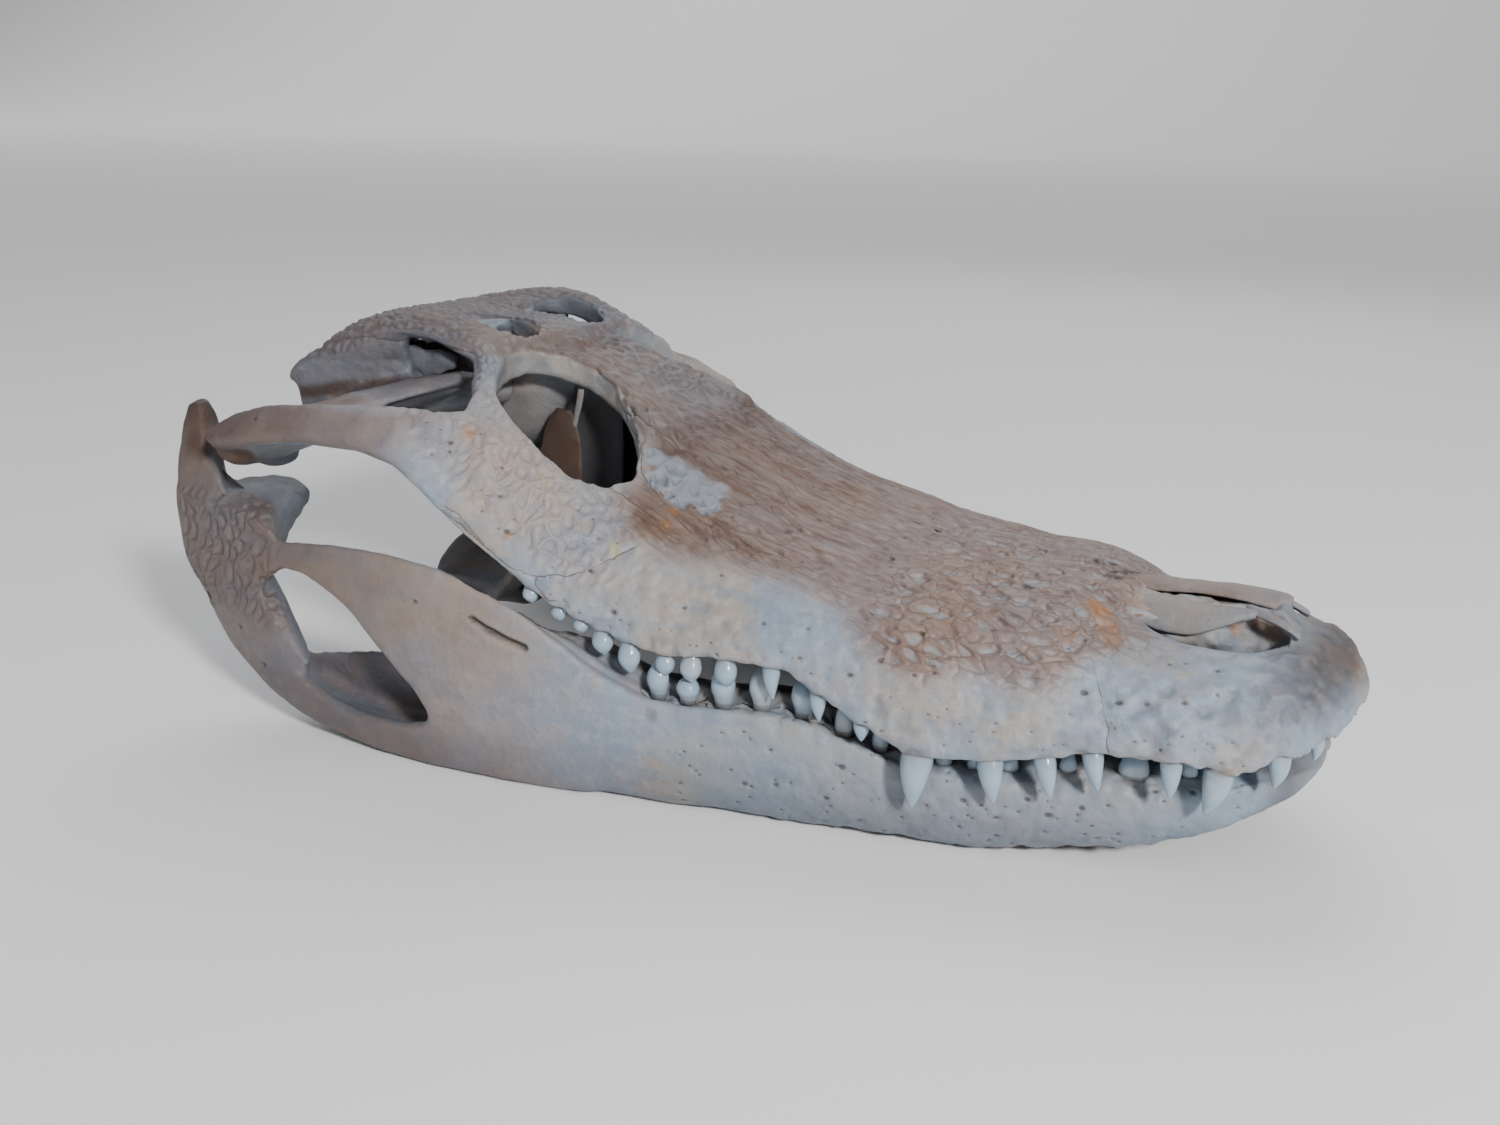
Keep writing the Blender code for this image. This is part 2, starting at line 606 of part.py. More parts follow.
def palate():
    """Palatine bar, pterygoid plate with its wings, and the struts out to the cheeks."""
    bar = slab("bar", [
        ((-8, 0, 48), (-8, 0, 62), 30),
        ((-30, 0, 50), (-30, 0, 63), 26),
        ((-48, 0, 52), (-48, 0, 64), 24),
        ((-62, 0, 52), (-62, 0, 64), 34),
        ((-78, 0, 52), (-78, 0, 66), 40),
        ((-96, 0, 56), (-96, 0, 76), 34),
        ((-106, 0, 62), (-106, 0, 80), 28),
    ], 16)
    wing = slab("pterygoid_wing", [
        ((-56, -8, 56), (-98, -6, 60), 7),
        ((-52, -20, 54), (-100, -18, 57), 6),
        ((-50, -32, 51), (-101, -32, 54), 5.5),
        ((-52, -42, 49), (-99, -43, 50), 6.5),
        ((-58, -50, 46), (-94, -51, 47), 8),
    ], 16)
    strut = slab("ectopterygoid", [
        ((-62, -50, 50), (-74, -50, 44), 7),
        ((-54, -54, 57), (-64, -54, 54), 6),
        ((-44, -62, 66), (-54, -62, 66), 6),
        ((-32, -72, 66), (-48, -74, 74), 7),
    ])
    pillar = slab("prefrontal_pillar", [
        ((-22, -14, 60), (-36, -12, 60), 5),
        ((-24, -18, 72), (-36, -14, 72), 4),
        ((-24, -24, 90), (-40, -18, 92), 5),
        ((-22, -30, 100), (-42, -22, 106), 7),
    ])
    return [bar] + both(wing) + both(strut) + both(pillar)


def tooth(name, base, tip, width, bend):
    """A pointed crown on a root sunk in the bone, curved a little towards its tip."""
    base, tip = np.array(base, float), np.array(tip, float)
    ahead = tip - base
    length = np.linalg.norm(ahead)
    ahead = ahead / length
    side = np.cross(ahead, (1.0, 0.0, 0.0))
    side = side / np.linalg.norm(side)
    front = np.cross(side, ahead)
    bow = bend * TOOTH_BOW * length * side
    rings = []
    for share, size in [(-ROOT_DEPTH / length, 0.42)] + TOOTH_PROFILE:
        centre = base + ahead * share * length + bow * math.sin(math.pi * max(0, share))
        angles = [2 * math.pi * (k + 0.5) / TOOTH_SIDES for k in range(TOOTH_SIDES)]
        rings.append([centre + width * size * (math.cos(a) * side + math.sin(a) * front) for a in angles])
    count = len(rings) * TOOTH_SIDES
    points = [tuple(p) for ring in rings for p in ring] + [tuple(tip)]
    faces = [tuple(range(TOOTH_SIDES))]
    for r in range(len(rings) - 1):
        for k in range(TOOTH_SIDES):
            after = (k + 1) % TOOTH_SIDES
            a, b = r * TOOTH_SIDES, (r + 1) * TOOTH_SIDES
            faces.append((a + k, a + after, b + after, b + k))
    top = (len(rings) - 1) * TOOTH_SIDES
    for k in range(TOOTH_SIDES):
        faces.append((top + k, top + (k + 1) % TOOTH_SIDES, count))
    return new_object(name, points, faces)


def row_of_teeth(name, table, edge, level, inset, direction, side, seed):
    """Crowns along one tooth row. direction is -1 for crowns that hang and 1 for crowns that stand."""
    draw = np.random.default_rng(seed)
    teeth = []
    for x, length, width, lean in table:
        slope = (edge(x + 0.5) - edge(x - 0.5)) / 1.0
        out = np.array([-slope, 1.0]) / math.hypot(slope, 1.0)
        rim = np.array([x, edge(x)]) - out * inset
        length *= draw.uniform(0.95, 1.05)
        flare = out * (-direction * TOOTH_FLARE * length)
        base = (rim[0], side * rim[1], level(x) - direction * 0.6)
        tip = (rim[0] + flare[0] + lean, side * (rim[1] + flare[1]), level(x) + direction * length)
        teeth.append(tooth(name, base, tip, width, side))
    return teeth


def upper_teeth(side):
    return row_of_teeth("upper_tooth", UPPER_TEETH, margin_width, margin_height, UPPER_INSET, -1, side,
                        TOOTH_SEED + side)


def lower_teeth(side):
    edge = curve([(x, y) for x, y in JAW_OUTER])
    return row_of_teeth("lower_tooth", LOWER_TEETH, edge, jaw_top, LOWER_INSET, 1, side,
                        TOOTH_SEED + 5 + side)


def jaw_edges(count):
    """Points of the outer and inner edge of the right half, matched in pairs."""
    steps = np.arange(len(JAW_OUTER), dtype=float)
    at = np.linspace(0, steps[-1], count)
    edges = []
    for table in (JAW_OUTER, JAW_INNER):
        along = curve(list(zip(steps, [p[0] for p in table])))
        across = curve(list(zip(steps, [max(p[1], 0.5 * GAP) for p in table])))
        edges.append(np.stack([along(at), -across(at)], axis=1))
    return edges


def rounded(value, power):
    return math.copysign(abs(value) ** power, value)


def jaw_half():
    """Right half of the lower jaw: tooth-bearing beam in front, two plates behind."""
    outer, inner = jaw_edges(65)
    side_wall = []
    inner_plate = []
    floor = []
    for edge, inside in zip(outer, inner):
        across = inside - edge
        full = np.linalg.norm(across)
        across = across / full
        x = edge[0]
        low, high = float(jaw_bottom(x)), float(jaw_top(x))
        width = OUTER_PLATE + (full - OUTER_PLATE) * float(jaw_width_share(x))
        ring = []
        for k in range(24):
            angle = 2 * math.pi * k / 24
            c, s = math.cos(angle), math.sin(angle)
            c = rounded(c, 0.62 if s > 0 else float(jaw_lower_roundness(x)))
            s = rounded(s, 0.62)
            place = edge + across * width * (0.5 - 0.5 * c)
            ring.append((place[0], place[1], low + (high - low) * (0.5 + 0.5 * s)))
        side_wall.append(ring)
        if -146 < x < -8:
            place = inside - across * INNER_PLATE / 2
            top = float(splenial_top(x))
            inner_plate.append(((place[0], place[1], low + 1), (place[0], place[1], top), INNER_PLATE))
        if x < -20:
            a = edge + across * 1.0
            b = inside - across * 0.5
            floor.append(((a[0], a[1], low + 4), (b[0], b[1], low + 4), 8))
    window = prism("window", smooth_path(JAW_WINDOW, 40, closed=True), "y", -100, -75.5)
    side_wall = loft("side_wall", side_wall)
    combine(side_wall, [window], "DIFFERENCE")
    articular = slab("articular", [
        ((-128, -81, 58), (-166, -81, 66), 18),
        ((-132, -72, 64), (-165, -72, 68), 16),
        ((-137, -62, 66), (-160, -62, 70), 11),
        ((-142, -54, 66), (-157, -54, 70), 8),
        ((-145, -49, 67), (-154, -49, 70), 5),
    ])
    heel = slab("heel", [
        ((-118, -80, 22), (-150, -79, 32), 8),
        ((-132, -78, 42), (-166, -77, 42), 12),
        ((-148, -76, 58), (-172, -76, 54), 13),
        ((-155, -76, 72), (-173, -75, 66), 12),
        ((-158, -75, 84), (-172, -74, 80), 11),
        ((-158, -75, 94), (-169, -74, 93), 9),
        ((-159, -76, 100), (-165, -75, 100), 6),
    ])
    return [side_wall, slab("inner_plate", inner_plate), slab("floor", floor), articular, heel]


def cranium_walls():
    """Thin sheets along the main sutures of the cranium."""
    def over_maxilla(x, _):
        return np.interp(x, *np.array(MAXILLA_REAR).T) - 1.0

    def over_middle(x, _):
        return 100 if x > -8.5 else 75

    def over_condyle(_, y):
        return np.interp(abs(y), [30, 50], [73, 92.5])

    walls = [
        wall("middle", [(200, 0), (-8, 0), (-9, 0), (-64, 0)], "z", 0, over_middle),
        wall("premaxilla_rear", PREMAXILLA_REAR, "z", 0, 100),
        wall("maxilla_rear", MAXILLA_REAR, "y", -120, 120),
        wall("frontal_rear", FRONTAL_REAR, "z", 80, 140),
        wall("table_underside", TABLE_UNDERSIDE, "y", -80, 80),
        wall("pterygoid_top", PTERYGOID_TOP, "y", -40, 40),
    ]
    paired = [
        (FRONTAL_FRONT, over_maxilla, 120), (QUADRATE_INNER, over_condyle, 114),
        (QUADRATE_OUTER, 70, 114), (POSTORBITAL_REAR, 90, 114), (STRUT_END, 40, 90),
    ]
    for side in (-1, 1):
        for line, low, high in paired:
            walls.append(wall("paired", [(x, side * y) for x, y in line], "z", low, high))
    return walls


def jaw_walls():
    """Thin sheets between the bones of the right half of the lower jaw."""
    return [
        wall("dentary_rear", DENTARY_REAR, "y", -120, -30),
        wall("surangular_low", SURANGULAR_LOW, "y", -120, -73),
        wall("articular_outer", ARTICULAR_OUTER, "z", 40, 130),
        wall("articular_low", ARTICULAR_LOW, "y", -74.2, -30),
    ]


def material(name, tint):
    surface = bpy.data.materials.new(name)
    surface.use_nodes = True
    shader = surface.node_tree.nodes["Principled BSDF"]
    shader.inputs["Base Color"].default_value = tuple(min(1, c * tint) for c in BONE[:3]) + (1.0,)
    shader.inputs["Roughness"].default_value = BONE_ROUGHNESS
    shader.inputs["Metallic"].default_value = 0.0
    return surface


def part_bones(whole, walls, names):
    """Part a fused body by thin sheets. names maps a node to a point on its bone."""
    combine(whole, walls, "DIFFERENCE")
    parts = []
    for faces in loose_parts(whole.data):
        mesh = part_mesh(whole.data, faces)
        parts.append((mesh, np.array([v.co for v in mesh.vertices]) / MM))
    nodes = []
    for tint, (name, place) in enumerate(names.items()):
        best = min(parts, key=lambda part: np.linalg.norm(part[1] - np.array(place), axis=1).min())
        node = bpy.data.objects.new(name, best[0])
        node.data.shade_smooth()
        bpy.context.scene.collection.objects.link(node)
        node.data.materials.append(material(name, 0.96 + 0.01 * (tint % 8)))
        nodes.append(node)
    bpy.data.objects.remove(whole)
    return nodes


CRANIUM_BONES = {
    "premaxilla_right": (150, -44, 42), "premaxilla_left": (150, 44, 42),
    "maxilla_right": (60, -64, 40), "maxilla_left": (60, 64, 40),
    "frontal": (-50, 0, 110), "jugal_right": (-50, -80, 75), "jugal_left": (-50, 80, 75),
    "skull_table": (-110, 0, 125), "braincase": (-135, 0, 90),
    "quadrate_right": (-144, -64, 80), "quadrate_left": (-144, 64, 80),
    "pterygoid": (-80, -45, 46),
}
JAW_BONES = {
    "dentary_right": (60, -58, 15), "surangular_right": (-95, -84, 60),
    "angular_right": (-110, -84, 8), "articular_right": (-150, -52, 68),
}


def build():
    clear_scene()
    masses = [cranium_shell(), skull_table()] + occiput() + palate()
    for piece in [cheek_bar(), postorbital_bar(), squamosal_flange()] + quadrate():
        masses += both(piece)
    cranium = fuse("cranium", masses, CRANIUM_TRIANGLES)
    lower_left_cheek(cranium)
    combine(cranium, upper_teeth(-1) + upper_teeth(1), "UNION")
    part_bones(cranium, cranium_walls(), CRANIUM_BONES)
    jaw = fuse("jaw", jaw_half(), JAW_TRIANGLES)
    combine(jaw, lower_teeth(-1), "UNION")
    for bone in part_bones(jaw, jaw_walls(), JAW_BONES):
        other = mirrored(bone)
        other.name = bone.name.replace("_right", "_left")


build()
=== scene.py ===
# %% [markdown]
# # A young alligator's skull, resting on its own lower jaw
#
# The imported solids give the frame: where every bone is and how big it is. This lesson dresses them as
# real bone. The bones are fused to fine surfaces, sculpted with pits, wrinkles and small nerve holes,
# parted again bone by bone, given their teeth, and finished with one bone material whose colours
# follow the relief.

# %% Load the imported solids
import heapq
import math
from types import SimpleNamespace

import bmesh
import bpy
import numpy as np
from mathutils import Matrix, Vector
from mathutils.bvhtree import BVHTree


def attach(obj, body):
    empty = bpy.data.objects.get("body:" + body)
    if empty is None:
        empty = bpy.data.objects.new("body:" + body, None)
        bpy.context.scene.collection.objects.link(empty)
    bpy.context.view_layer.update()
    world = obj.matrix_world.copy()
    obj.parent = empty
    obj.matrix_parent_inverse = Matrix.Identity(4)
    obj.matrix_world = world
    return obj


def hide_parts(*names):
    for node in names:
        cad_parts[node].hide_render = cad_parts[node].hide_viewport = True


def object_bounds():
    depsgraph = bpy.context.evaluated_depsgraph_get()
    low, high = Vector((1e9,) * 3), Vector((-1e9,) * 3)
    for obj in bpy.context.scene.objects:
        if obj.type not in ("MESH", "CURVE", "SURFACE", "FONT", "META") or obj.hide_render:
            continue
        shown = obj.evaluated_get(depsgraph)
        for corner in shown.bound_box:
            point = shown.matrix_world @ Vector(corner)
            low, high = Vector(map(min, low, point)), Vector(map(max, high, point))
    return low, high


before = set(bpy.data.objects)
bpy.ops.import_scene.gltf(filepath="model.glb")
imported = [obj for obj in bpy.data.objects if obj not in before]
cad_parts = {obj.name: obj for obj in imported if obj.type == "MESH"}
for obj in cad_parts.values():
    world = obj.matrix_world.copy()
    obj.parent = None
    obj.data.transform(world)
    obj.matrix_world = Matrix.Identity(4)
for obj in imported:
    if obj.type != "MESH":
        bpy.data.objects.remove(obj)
cad_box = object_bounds()
MM = 0.001
CAD_LOW = np.array(cad_box[0]) / MM
CAD_HIGH = np.array(cad_box[1]) / MM
print("solid box in mm", CAD_LOW.round(1), CAD_HIGH.round(1))

# %% [markdown]
# ## Camera
#
# The skull is seen from its right side, from a little above and in front of the eyes. A camera could be
# aimed at a target, but this one's place and direction were worked out from lengths that are known in
# the view. So they are set as numbers: the place in metres, and the directions of the picture's right
# and up edges.

# %% Place the camera
CAMERA_PLACE = Vector((0.181747, -0.374071, 0.188419))
CAMERA_RIGHT = Vector((0.88651063, 0.46214451, 0.02283325))
CAMERA_UP = Vector((-0.16154972, 0.2628972, 0.95120279))
CAMERA_LENS = 33.615
SENSOR_WIDTH = 36.0

bpy.ops.object.camera_add()
camera = bpy.context.object
camera.name = "camera"
camera.data.sensor_width = SENSOR_WIDTH
camera.data.lens = CAMERA_LENS
camera.data.clip_start = 0.01
turn = Matrix((CAMERA_RIGHT, CAMERA_UP, CAMERA_RIGHT.cross(CAMERA_UP))).transposed()
camera.matrix_world = Matrix.Translation(CAMERA_PLACE) @ turn.to_4x4()
bpy.context.scene.camera = camera
print("camera", tuple(round(c, 3) for c in camera.location), "lens", CAMERA_LENS)

# %% [markdown]
# ## Helpers for selecting and shaping
#
# Operators act on whatever is selected, so each step starts by deselecting everything. The curve
# helper turns a short table of measured stations into a smooth line without overshoot.


# %% Selecting, smooth steps and curves
def select_only(*items):
    bpy.ops.object.select_all(action="DESELECT")
    for item in items:
        item.select_set(True)
    bpy.context.view_layer.objects.active = items[0]


def step_up(value, start, end):
    """0 before start, 1 after end, and a smooth rise between them. start may be the larger one."""
    share = np.clip((value - start) / (end - start), 0, 1)
    return share * share * (3 - 2 * share)


def window(value, low, high, soft):
    """1 between low and high, fading over soft on both sides."""
    return step_up(value, low - soft, low + soft) * step_up(value, high + soft, high - soft)


def curve(table):
    """A smooth function through (place, value) pairs, without overshoot."""
    places, values = np.array(sorted(table), float).T
    steps = np.diff(places)
    slopes = np.diff(values) / steps
    bends = np.zeros(len(places))
    same = slopes[:-1] * slopes[1:] > 0
    bends[1:-1][same] = 2.0 / (1.0 / slopes[:-1][same] + 1.0 / slopes[1:][same])
    bends[0], bends[-1] = slopes[0], slopes[-1]

    def value(at):
        at = np.clip(at, places[0], places[-1])
        i = np.clip(np.searchsorted(places, at) - 1, 0, len(steps) - 1)
        t = (at - places[i]) / steps[i]
        near = values[i] + t * t * (3 - 2 * t) * (values[i + 1] - values[i])
        return near + steps[i] * t * (1 - t) * ((1 - t) * bends[i] - t * bends[i + 1])

    return value


# %% [markdown]
# ## Floor and light
#
# A plain pale sweep: one wide plane whose far edge is pulled up and whose corner is bevelled round, so
# the picture has no horizon. The key lamp stands before the snout, to the right of the camera. It is
# small, so the relief throws shadows, and near, so the light falls off towards the back of the skull. A
# weak, very soft sun and the room light the sweep, and a wide lamp high over the far floor keeps it as
# pale as the near one.

# %% Build the sweep
FLOOR_SIZE = 32.0
FLOOR_STRETCH = 5.0
SWEEP_RISE = 12.0
SWEEP_ROUND = 9.0

bpy.ops.object.select_all(action="DESELECT")
bpy.ops.mesh.primitive_plane_add(size=FLOOR_SIZE, location=(0, 0, 0))
floor = bpy.context.object
floor.name = "floor"
bpy.ops.transform.resize(value=(FLOOR_STRETCH, 1, 1))
bpy.ops.object.transform_apply(location=False, rotation=False, scale=True)


def select_edges(item, test):
    """Select the edges whose two ends both pass a test on their place."""
    bpy.ops.object.mode_set(mode="EDIT")
    bpy.ops.mesh.select_mode(type="EDGE")
    bpy.ops.mesh.select_all(action="DESELECT")
    bpy.ops.object.mode_set(mode="OBJECT")
    for edge in item.data.edges:
        edge.select = all(test(item.data.vertices[v].co) for v in edge.vertices)
    bpy.ops.object.mode_set(mode="EDIT")


select_edges(floor, lambda place: place.y > 1)
bpy.ops.mesh.extrude_edges_move(TRANSFORM_OT_translate={"value": (0, 0, SWEEP_RISE)})
select_edges(floor, lambda place: place.y > 1 and place.z < 0.1)
bpy.ops.mesh.bevel(offset=SWEEP_ROUND, segments=24)
bpy.ops.mesh.select_all(action="SELECT")
bpy.ops.mesh.normals_make_consistent(inside=False)
bpy.ops.object.mode_set(mode="OBJECT")
if floor.data.polygons[0].normal.z < 0:
    floor.data.flip_normals()
bpy.ops.object.shade_smooth()
print("floor faces", len(floor.data.polygons))

# %% Hang the lamps
SKULL = (0.0, 0.0, 0.05)
FAR_FLOOR = (-6.5, 8.0, 0.0)
LAMPS = [
    ("key", (1.0, -0.8, 0.76), SKULL, 0.2, 24.0, (1.0, 0.985, 0.965)),
    ("fill", (-0.8, -0.9, 0.6), SKULL, 0.9, 1.4, (0.92, 0.96, 1.0)),
    ("back", (-0.1, 1.0, 0.9), SKULL, 1.0, 2.4, (0.97, 0.98, 1.0)),
    ("backdrop", (-6.5, 8.0, 10.0), FAR_FLOOR, 14.0, 950.0, (1.0, 1.0, 1.0)),
]
SUN_POWER = 0.3
SUN_SPREAD = 0.9
SUN_TURN = (0.5, 0.15, 0.2)
ROOM_LIGHT = 0.14
ROOM_COLOUR = (0.92, 0.95, 1.0, 1.0)

for name, place, aim, size, power, colour in LAMPS:
    bpy.ops.object.light_add(type="AREA", location=place)
    lamp = bpy.context.object
    lamp.name = name
    lamp.data.shape = "DISK"
    lamp.data.size = size
    lamp.data.energy = power
    lamp.data.color = colour
    lamp.rotation_euler = (Vector(aim) - Vector(place)).to_track_quat("-Z", "Y").to_euler()
bpy.ops.object.light_add(type="SUN", location=(0, 0, 3), rotation=SUN_TURN)
bpy.context.object.name = "sun"
bpy.context.object.data.energy = SUN_POWER
bpy.context.object.data.angle = SUN_SPREAD
room = bpy.data.worlds.new("room")
bpy.context.scene.world = room
room.use_nodes = True
background = room.node_tree.nodes["Background"]
background.inputs["Color"].default_value = ROOM_COLOUR
background.inputs["Strength"].default_value = ROOM_LIGHT
print("lamps", [lamp[0] for lamp in LAMPS])

# %% [markdown]
# ## Writing materials as sums
#
# A material is a net of nodes. Wrapping a node's output in a small class lets plain sums write the
# net: `1 - mask * 0.4` adds two Math nodes. Colours go through Mix nodes, because a Math node would
# turn them grey.


# %% The wire and the board
class Wire:
    """The output of a node, used in sums as if it were a number."""

    def __init__(self, board, socket):
        self.board = board
        self.socket = socket

    def sum_with(self, operation, *values):
        return self.board.node("ShaderNodeMath", {"operation": operation}, dict(enumerate(values)))

    def __add__(self, other):
        return self.sum_with("ADD", self, other)

    def __sub__(self, other):
        return self.sum_with("SUBTRACT", self, other)

    def __rsub__(self, other):
        return self.sum_with("SUBTRACT", other, self)

    def __mul__(self, other):
        return self.sum_with("MULTIPLY", self, other)

    def size(self):
        return self.sum_with("ABSOLUTE", self)

    def rise(self, start, end):
        """0 at start, 1 at end, and smooth between."""
        settings = {"interpolation_type": "SMOOTHSTEP", "clamp": True}
        return self.board.node("ShaderNodeMapRange", settings, {0: self, 1: start, 2: end})

    __radd__ = __add__
    __rmul__ = __mul__


# Outputs and inputs that share their name with others on the same node, by their number
OBJECT_OUTPUT = 3
FACTOR_OUTPUT = 2
NOISE_COLOUR_OUTPUT = 1
MIXED_COLOUR_OUTPUT = 2
COLOUR_BELOW = 6
COLOUR_ABOVE = 7


class Board:
    """A material and its nodes."""

    def __init__(self, name):
        self.material = bpy.data.materials.new(name)
        self.material.use_nodes = True
        self.tree = self.material.node_tree
        self.shader = self.tree.nodes["Principled BSDF"]

    def node(self, kind, settings=None, inputs=None, output=0):
        """Add a node: its settings first, then the values or wires of its inputs."""
        item = self.tree.nodes.new(kind)
        for key, value in (settings or {}).items():
            setattr(item, key, value)
        for key, value in (inputs or {}).items():
            self.plug(value, item.inputs[key])
        return Wire(self, item.outputs[output])

    def plug(self, value, socket):
        if isinstance(value, Wire):
            self.tree.links.new(value.socket, socket)
        else:
            socket.default_value = value

    def finish(self, socket, value):
        """Plug a value or a wire into the surface shader."""
        self.plug(value, self.shader.inputs[socket])

    def objects_place(self):
        return self.node("ShaderNodeTexCoord", output=OBJECT_OUTPUT)

    def painted(self, name):
        """The value that the sculptor painted on the surface under this name."""
        return self.node("ShaderNodeAttribute", {"attribute_name": name}, output=FACTOR_OUTPUT)

    def noise(self, where, scale, detail=3.0, roughness=0.55):
        inputs = {"Vector": where, "Scale": scale, "Detail": detail, "Roughness": roughness}
        return self.node("ShaderNodeTexNoise", {}, inputs)

    def vectors(self, operation, first, second):
        return self.node("ShaderNodeVectorMath", {"operation": operation}, {0: first, 1: second})

    def bent(self, where, scale, amount):
        """The place moved about by noise, so that a regular pattern on it looks grown."""
        inputs = {"Vector": where, "Scale": scale, "Detail": 2.0}
        push = self.node("ShaderNodeTexNoise", {}, inputs, output=NOISE_COLOUR_OUTPUT)
        centred = self.vectors("SUBTRACT", push, (0.5, 0.5, 0.5))
        return self.vectors("ADD", where, self.vectors("MULTIPLY", centred, (amount, amount, amount)))

    def lifted(self, where, fall):
        """The place with a painted height taken off."""
        return self.vectors("SUBTRACT", where, self.node("ShaderNodeCombineXYZ", {}, {2: fall}))

    def net(self, where, scale):
        """0 on the lines between cells, rising towards their middles."""
        settings = {"feature": "DISTANCE_TO_EDGE"}
        return self.node("ShaderNodeTexVoronoi", settings, {"Vector": where, "Scale": scale})

    def stretched(self, where, scale):
        return self.node("ShaderNodeMapping", {}, {"Vector": where, "Scale": scale})

    def mix(self, share, below, above, blend="MIX"):
        settings = {"data_type": "RGBA", "blend_type": blend, "clamp_factor": True}
        inputs = {0: share, COLOUR_BELOW: below, COLOUR_ABOVE: above}
        return self.node("ShaderNodeMix", settings, inputs, output=MIXED_COLOUR_OUTPUT)

    def bump(self, height, strength, distance):
        inputs = {"Height": height, "Strength": strength, "Distance": distance}
        return self.node("ShaderNodeBump", {}, inputs)


def tint(red, green, blue):
    """A colour given as on a screen, from 0 to 255, as the light amounts that nodes use."""
    shares = [c / 255.0 for c in (red, green, blue)]
    return tuple(c / 12.92 if c < 0.04045 else ((c + 0.055) / 1.055) ** 2.4 for c in shares) + (1.0,)


print("helpers for materials are ready")

# %% Floor material
board = Board("floor_paper")
spots = board.noise(board.objects_place(), 3.0)
board.finish("Base Color", board.mix(spots, tint(242, 243, 244), tint(246, 246, 247)))
board.finish("Roughness", 0.9)
floor.data.materials.append(board.material)
print("floor material", board.material.name)

# %% [markdown]
# ## Noise for sculpting
#
# Bone relief is neither regular nor random: it is a net of ridges round small pits. Two patterns make
# most of it. Smooth noise is a soft lumpy height. Cells give each point its distance to the nearest
# and the second nearest of many scattered seeds, so their difference is small on the ridges between
# two pits. Both are worked out for all points at once, and both repeat exactly on every run.


# %% Smooth noise and cells
def scrambled(corner, seed):
    """A repeatable number from 0 to 1 for each whole-number corner of space."""
    mixed = corner[:, 0] * 374761393 + corner[:, 1] * 668265263 + corner[:, 2] * 1274126177
    mixed = (mixed + seed * 362437) & 0xFFFFFFFF
    mixed = ((mixed ^ (mixed >> 13)) * 1103515245) & 0xFFFFFFFF
    mixed = ((mixed ^ (mixed >> 16)) * 668265263) & 0xFFFFFFFF
    return ((mixed ^ (mixed >> 15)) & 0xFFFFFF) / 0xFFFFFF


def lumps(points, size, seed, octaves=2):
    """Smooth noise from -1 to 1 with lumps about this size."""
    total = np.zeros(len(points))
    strength, reach = 1.0, 0.0
    for octave in range(octaves):
        at = points / size * 2**octave
        base = np.floor(at).astype(np.int64)
        part = at - base
        part = part * part * (3 - 2 * part)
        layer = np.zeros(len(points))
        for corner in np.ndindex(2, 2, 2):
            share = np.prod(np.where(corner, part, 1 - part), axis=1)
            layer += share * scrambled(base + corner, seed + octave)
        total += strength * (2 * layer - 1)
        reach += strength
        strength *= 0.5
    return total / reach


def cells(points, sizes, seed, jitter=0.9):
    """The distances to the nearest and the second nearest seed, in cells of these sizes."""
    at = points / np.array(sizes, float)
    base = np.floor(at).astype(np.int64)
    near = np.full(len(points), 9.0)
    second = near.copy()
    for shift in np.ndindex(3, 3, 3):
        corner = base + np.array(shift) - 1
        spot = np.stack([scrambled(corner, seed + k) for k in range(3)], axis=1)
        far = np.linalg.norm(at - corner - 0.5 - jitter * (spot - 0.5), axis=1)
        closer = far < near
        second = np.where(closer, near, np.minimum(second, far))
        near = np.where(closer, far, near)
    return near, second


def bent(points, size, amount, seed):
    """The points moved about by smooth noise, which bends a pattern that is laid on them."""
    moves = [lumps(points, size, seed + 10 * k, 1) for k in range(3)]
    return points + amount * np.stack(moves, axis=1)


print("one lump value", lumps(np.array([[3.0, 4.0, 5.0]]), 8.0, 1).round(3))

# %% [markdown]
# ## From solids to one fine surface
#
# The solids are cut at the sutures by hair-thin gaps. A copy of each is welded, grown by a fraction of
# a millimetre so that the gaps close, joined, and remeshed with small voxels. Relaxing takes out the
# facets, and one level of subdivision gives quads small enough to sculpt. A few knobs, which the solids
# have too steep, are melted down first.

# %% Fuse a group of bones
VOXEL = 1.22
GROWTH = 0.22
LARGEST_GROWTH = 2.0
WELD = 1e-6
RELAX_ROUNDS = 26
RELAX_IN = 0.55
RELAX_OUT = -0.56
MELT_ROUNDS = 70
MELT_SHARE = 0.6

CRANIUM = [
    "premaxilla_right", "premaxilla_left", "maxilla_right", "maxilla_left", "frontal", "jugal_right",
    "jugal_left", "skull_table", "braincase", "quadrate_right", "quadrate_left", "pterygoid",
]
JAW_BONES = ["dentary", "surangular", "angular", "articular"]


def new_object(name, mesh):
    item = bpy.data.objects.new(name, mesh)
    bpy.context.scene.collection.objects.link(item)
    return item


def welded_copy(node):
    """A copy of a solid with its corners merged, grown a little along its faces' normals."""
    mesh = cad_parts[node].data.copy()
    build = bmesh.new()
    build.from_mesh(mesh)
    bmesh.ops.remove_doubles(build, verts=build.verts, dist=WELD)
    build.normal_update()
    for vertex in build.verts:
        factor = min(vertex.calc_shell_factor(), LARGEST_GROWTH)
        vertex.co += vertex.normal * factor * GROWTH * MM
    build.to_mesh(mesh)
    build.free()
    return new_object(node + "_copy", mesh)


def edge_pairs(mesh):
    pairs = np.zeros(2 * len(mesh.edges), np.int32)
    mesh.edges.foreach_get("vertices", pairs)
    return pairs.reshape(-1, 2)


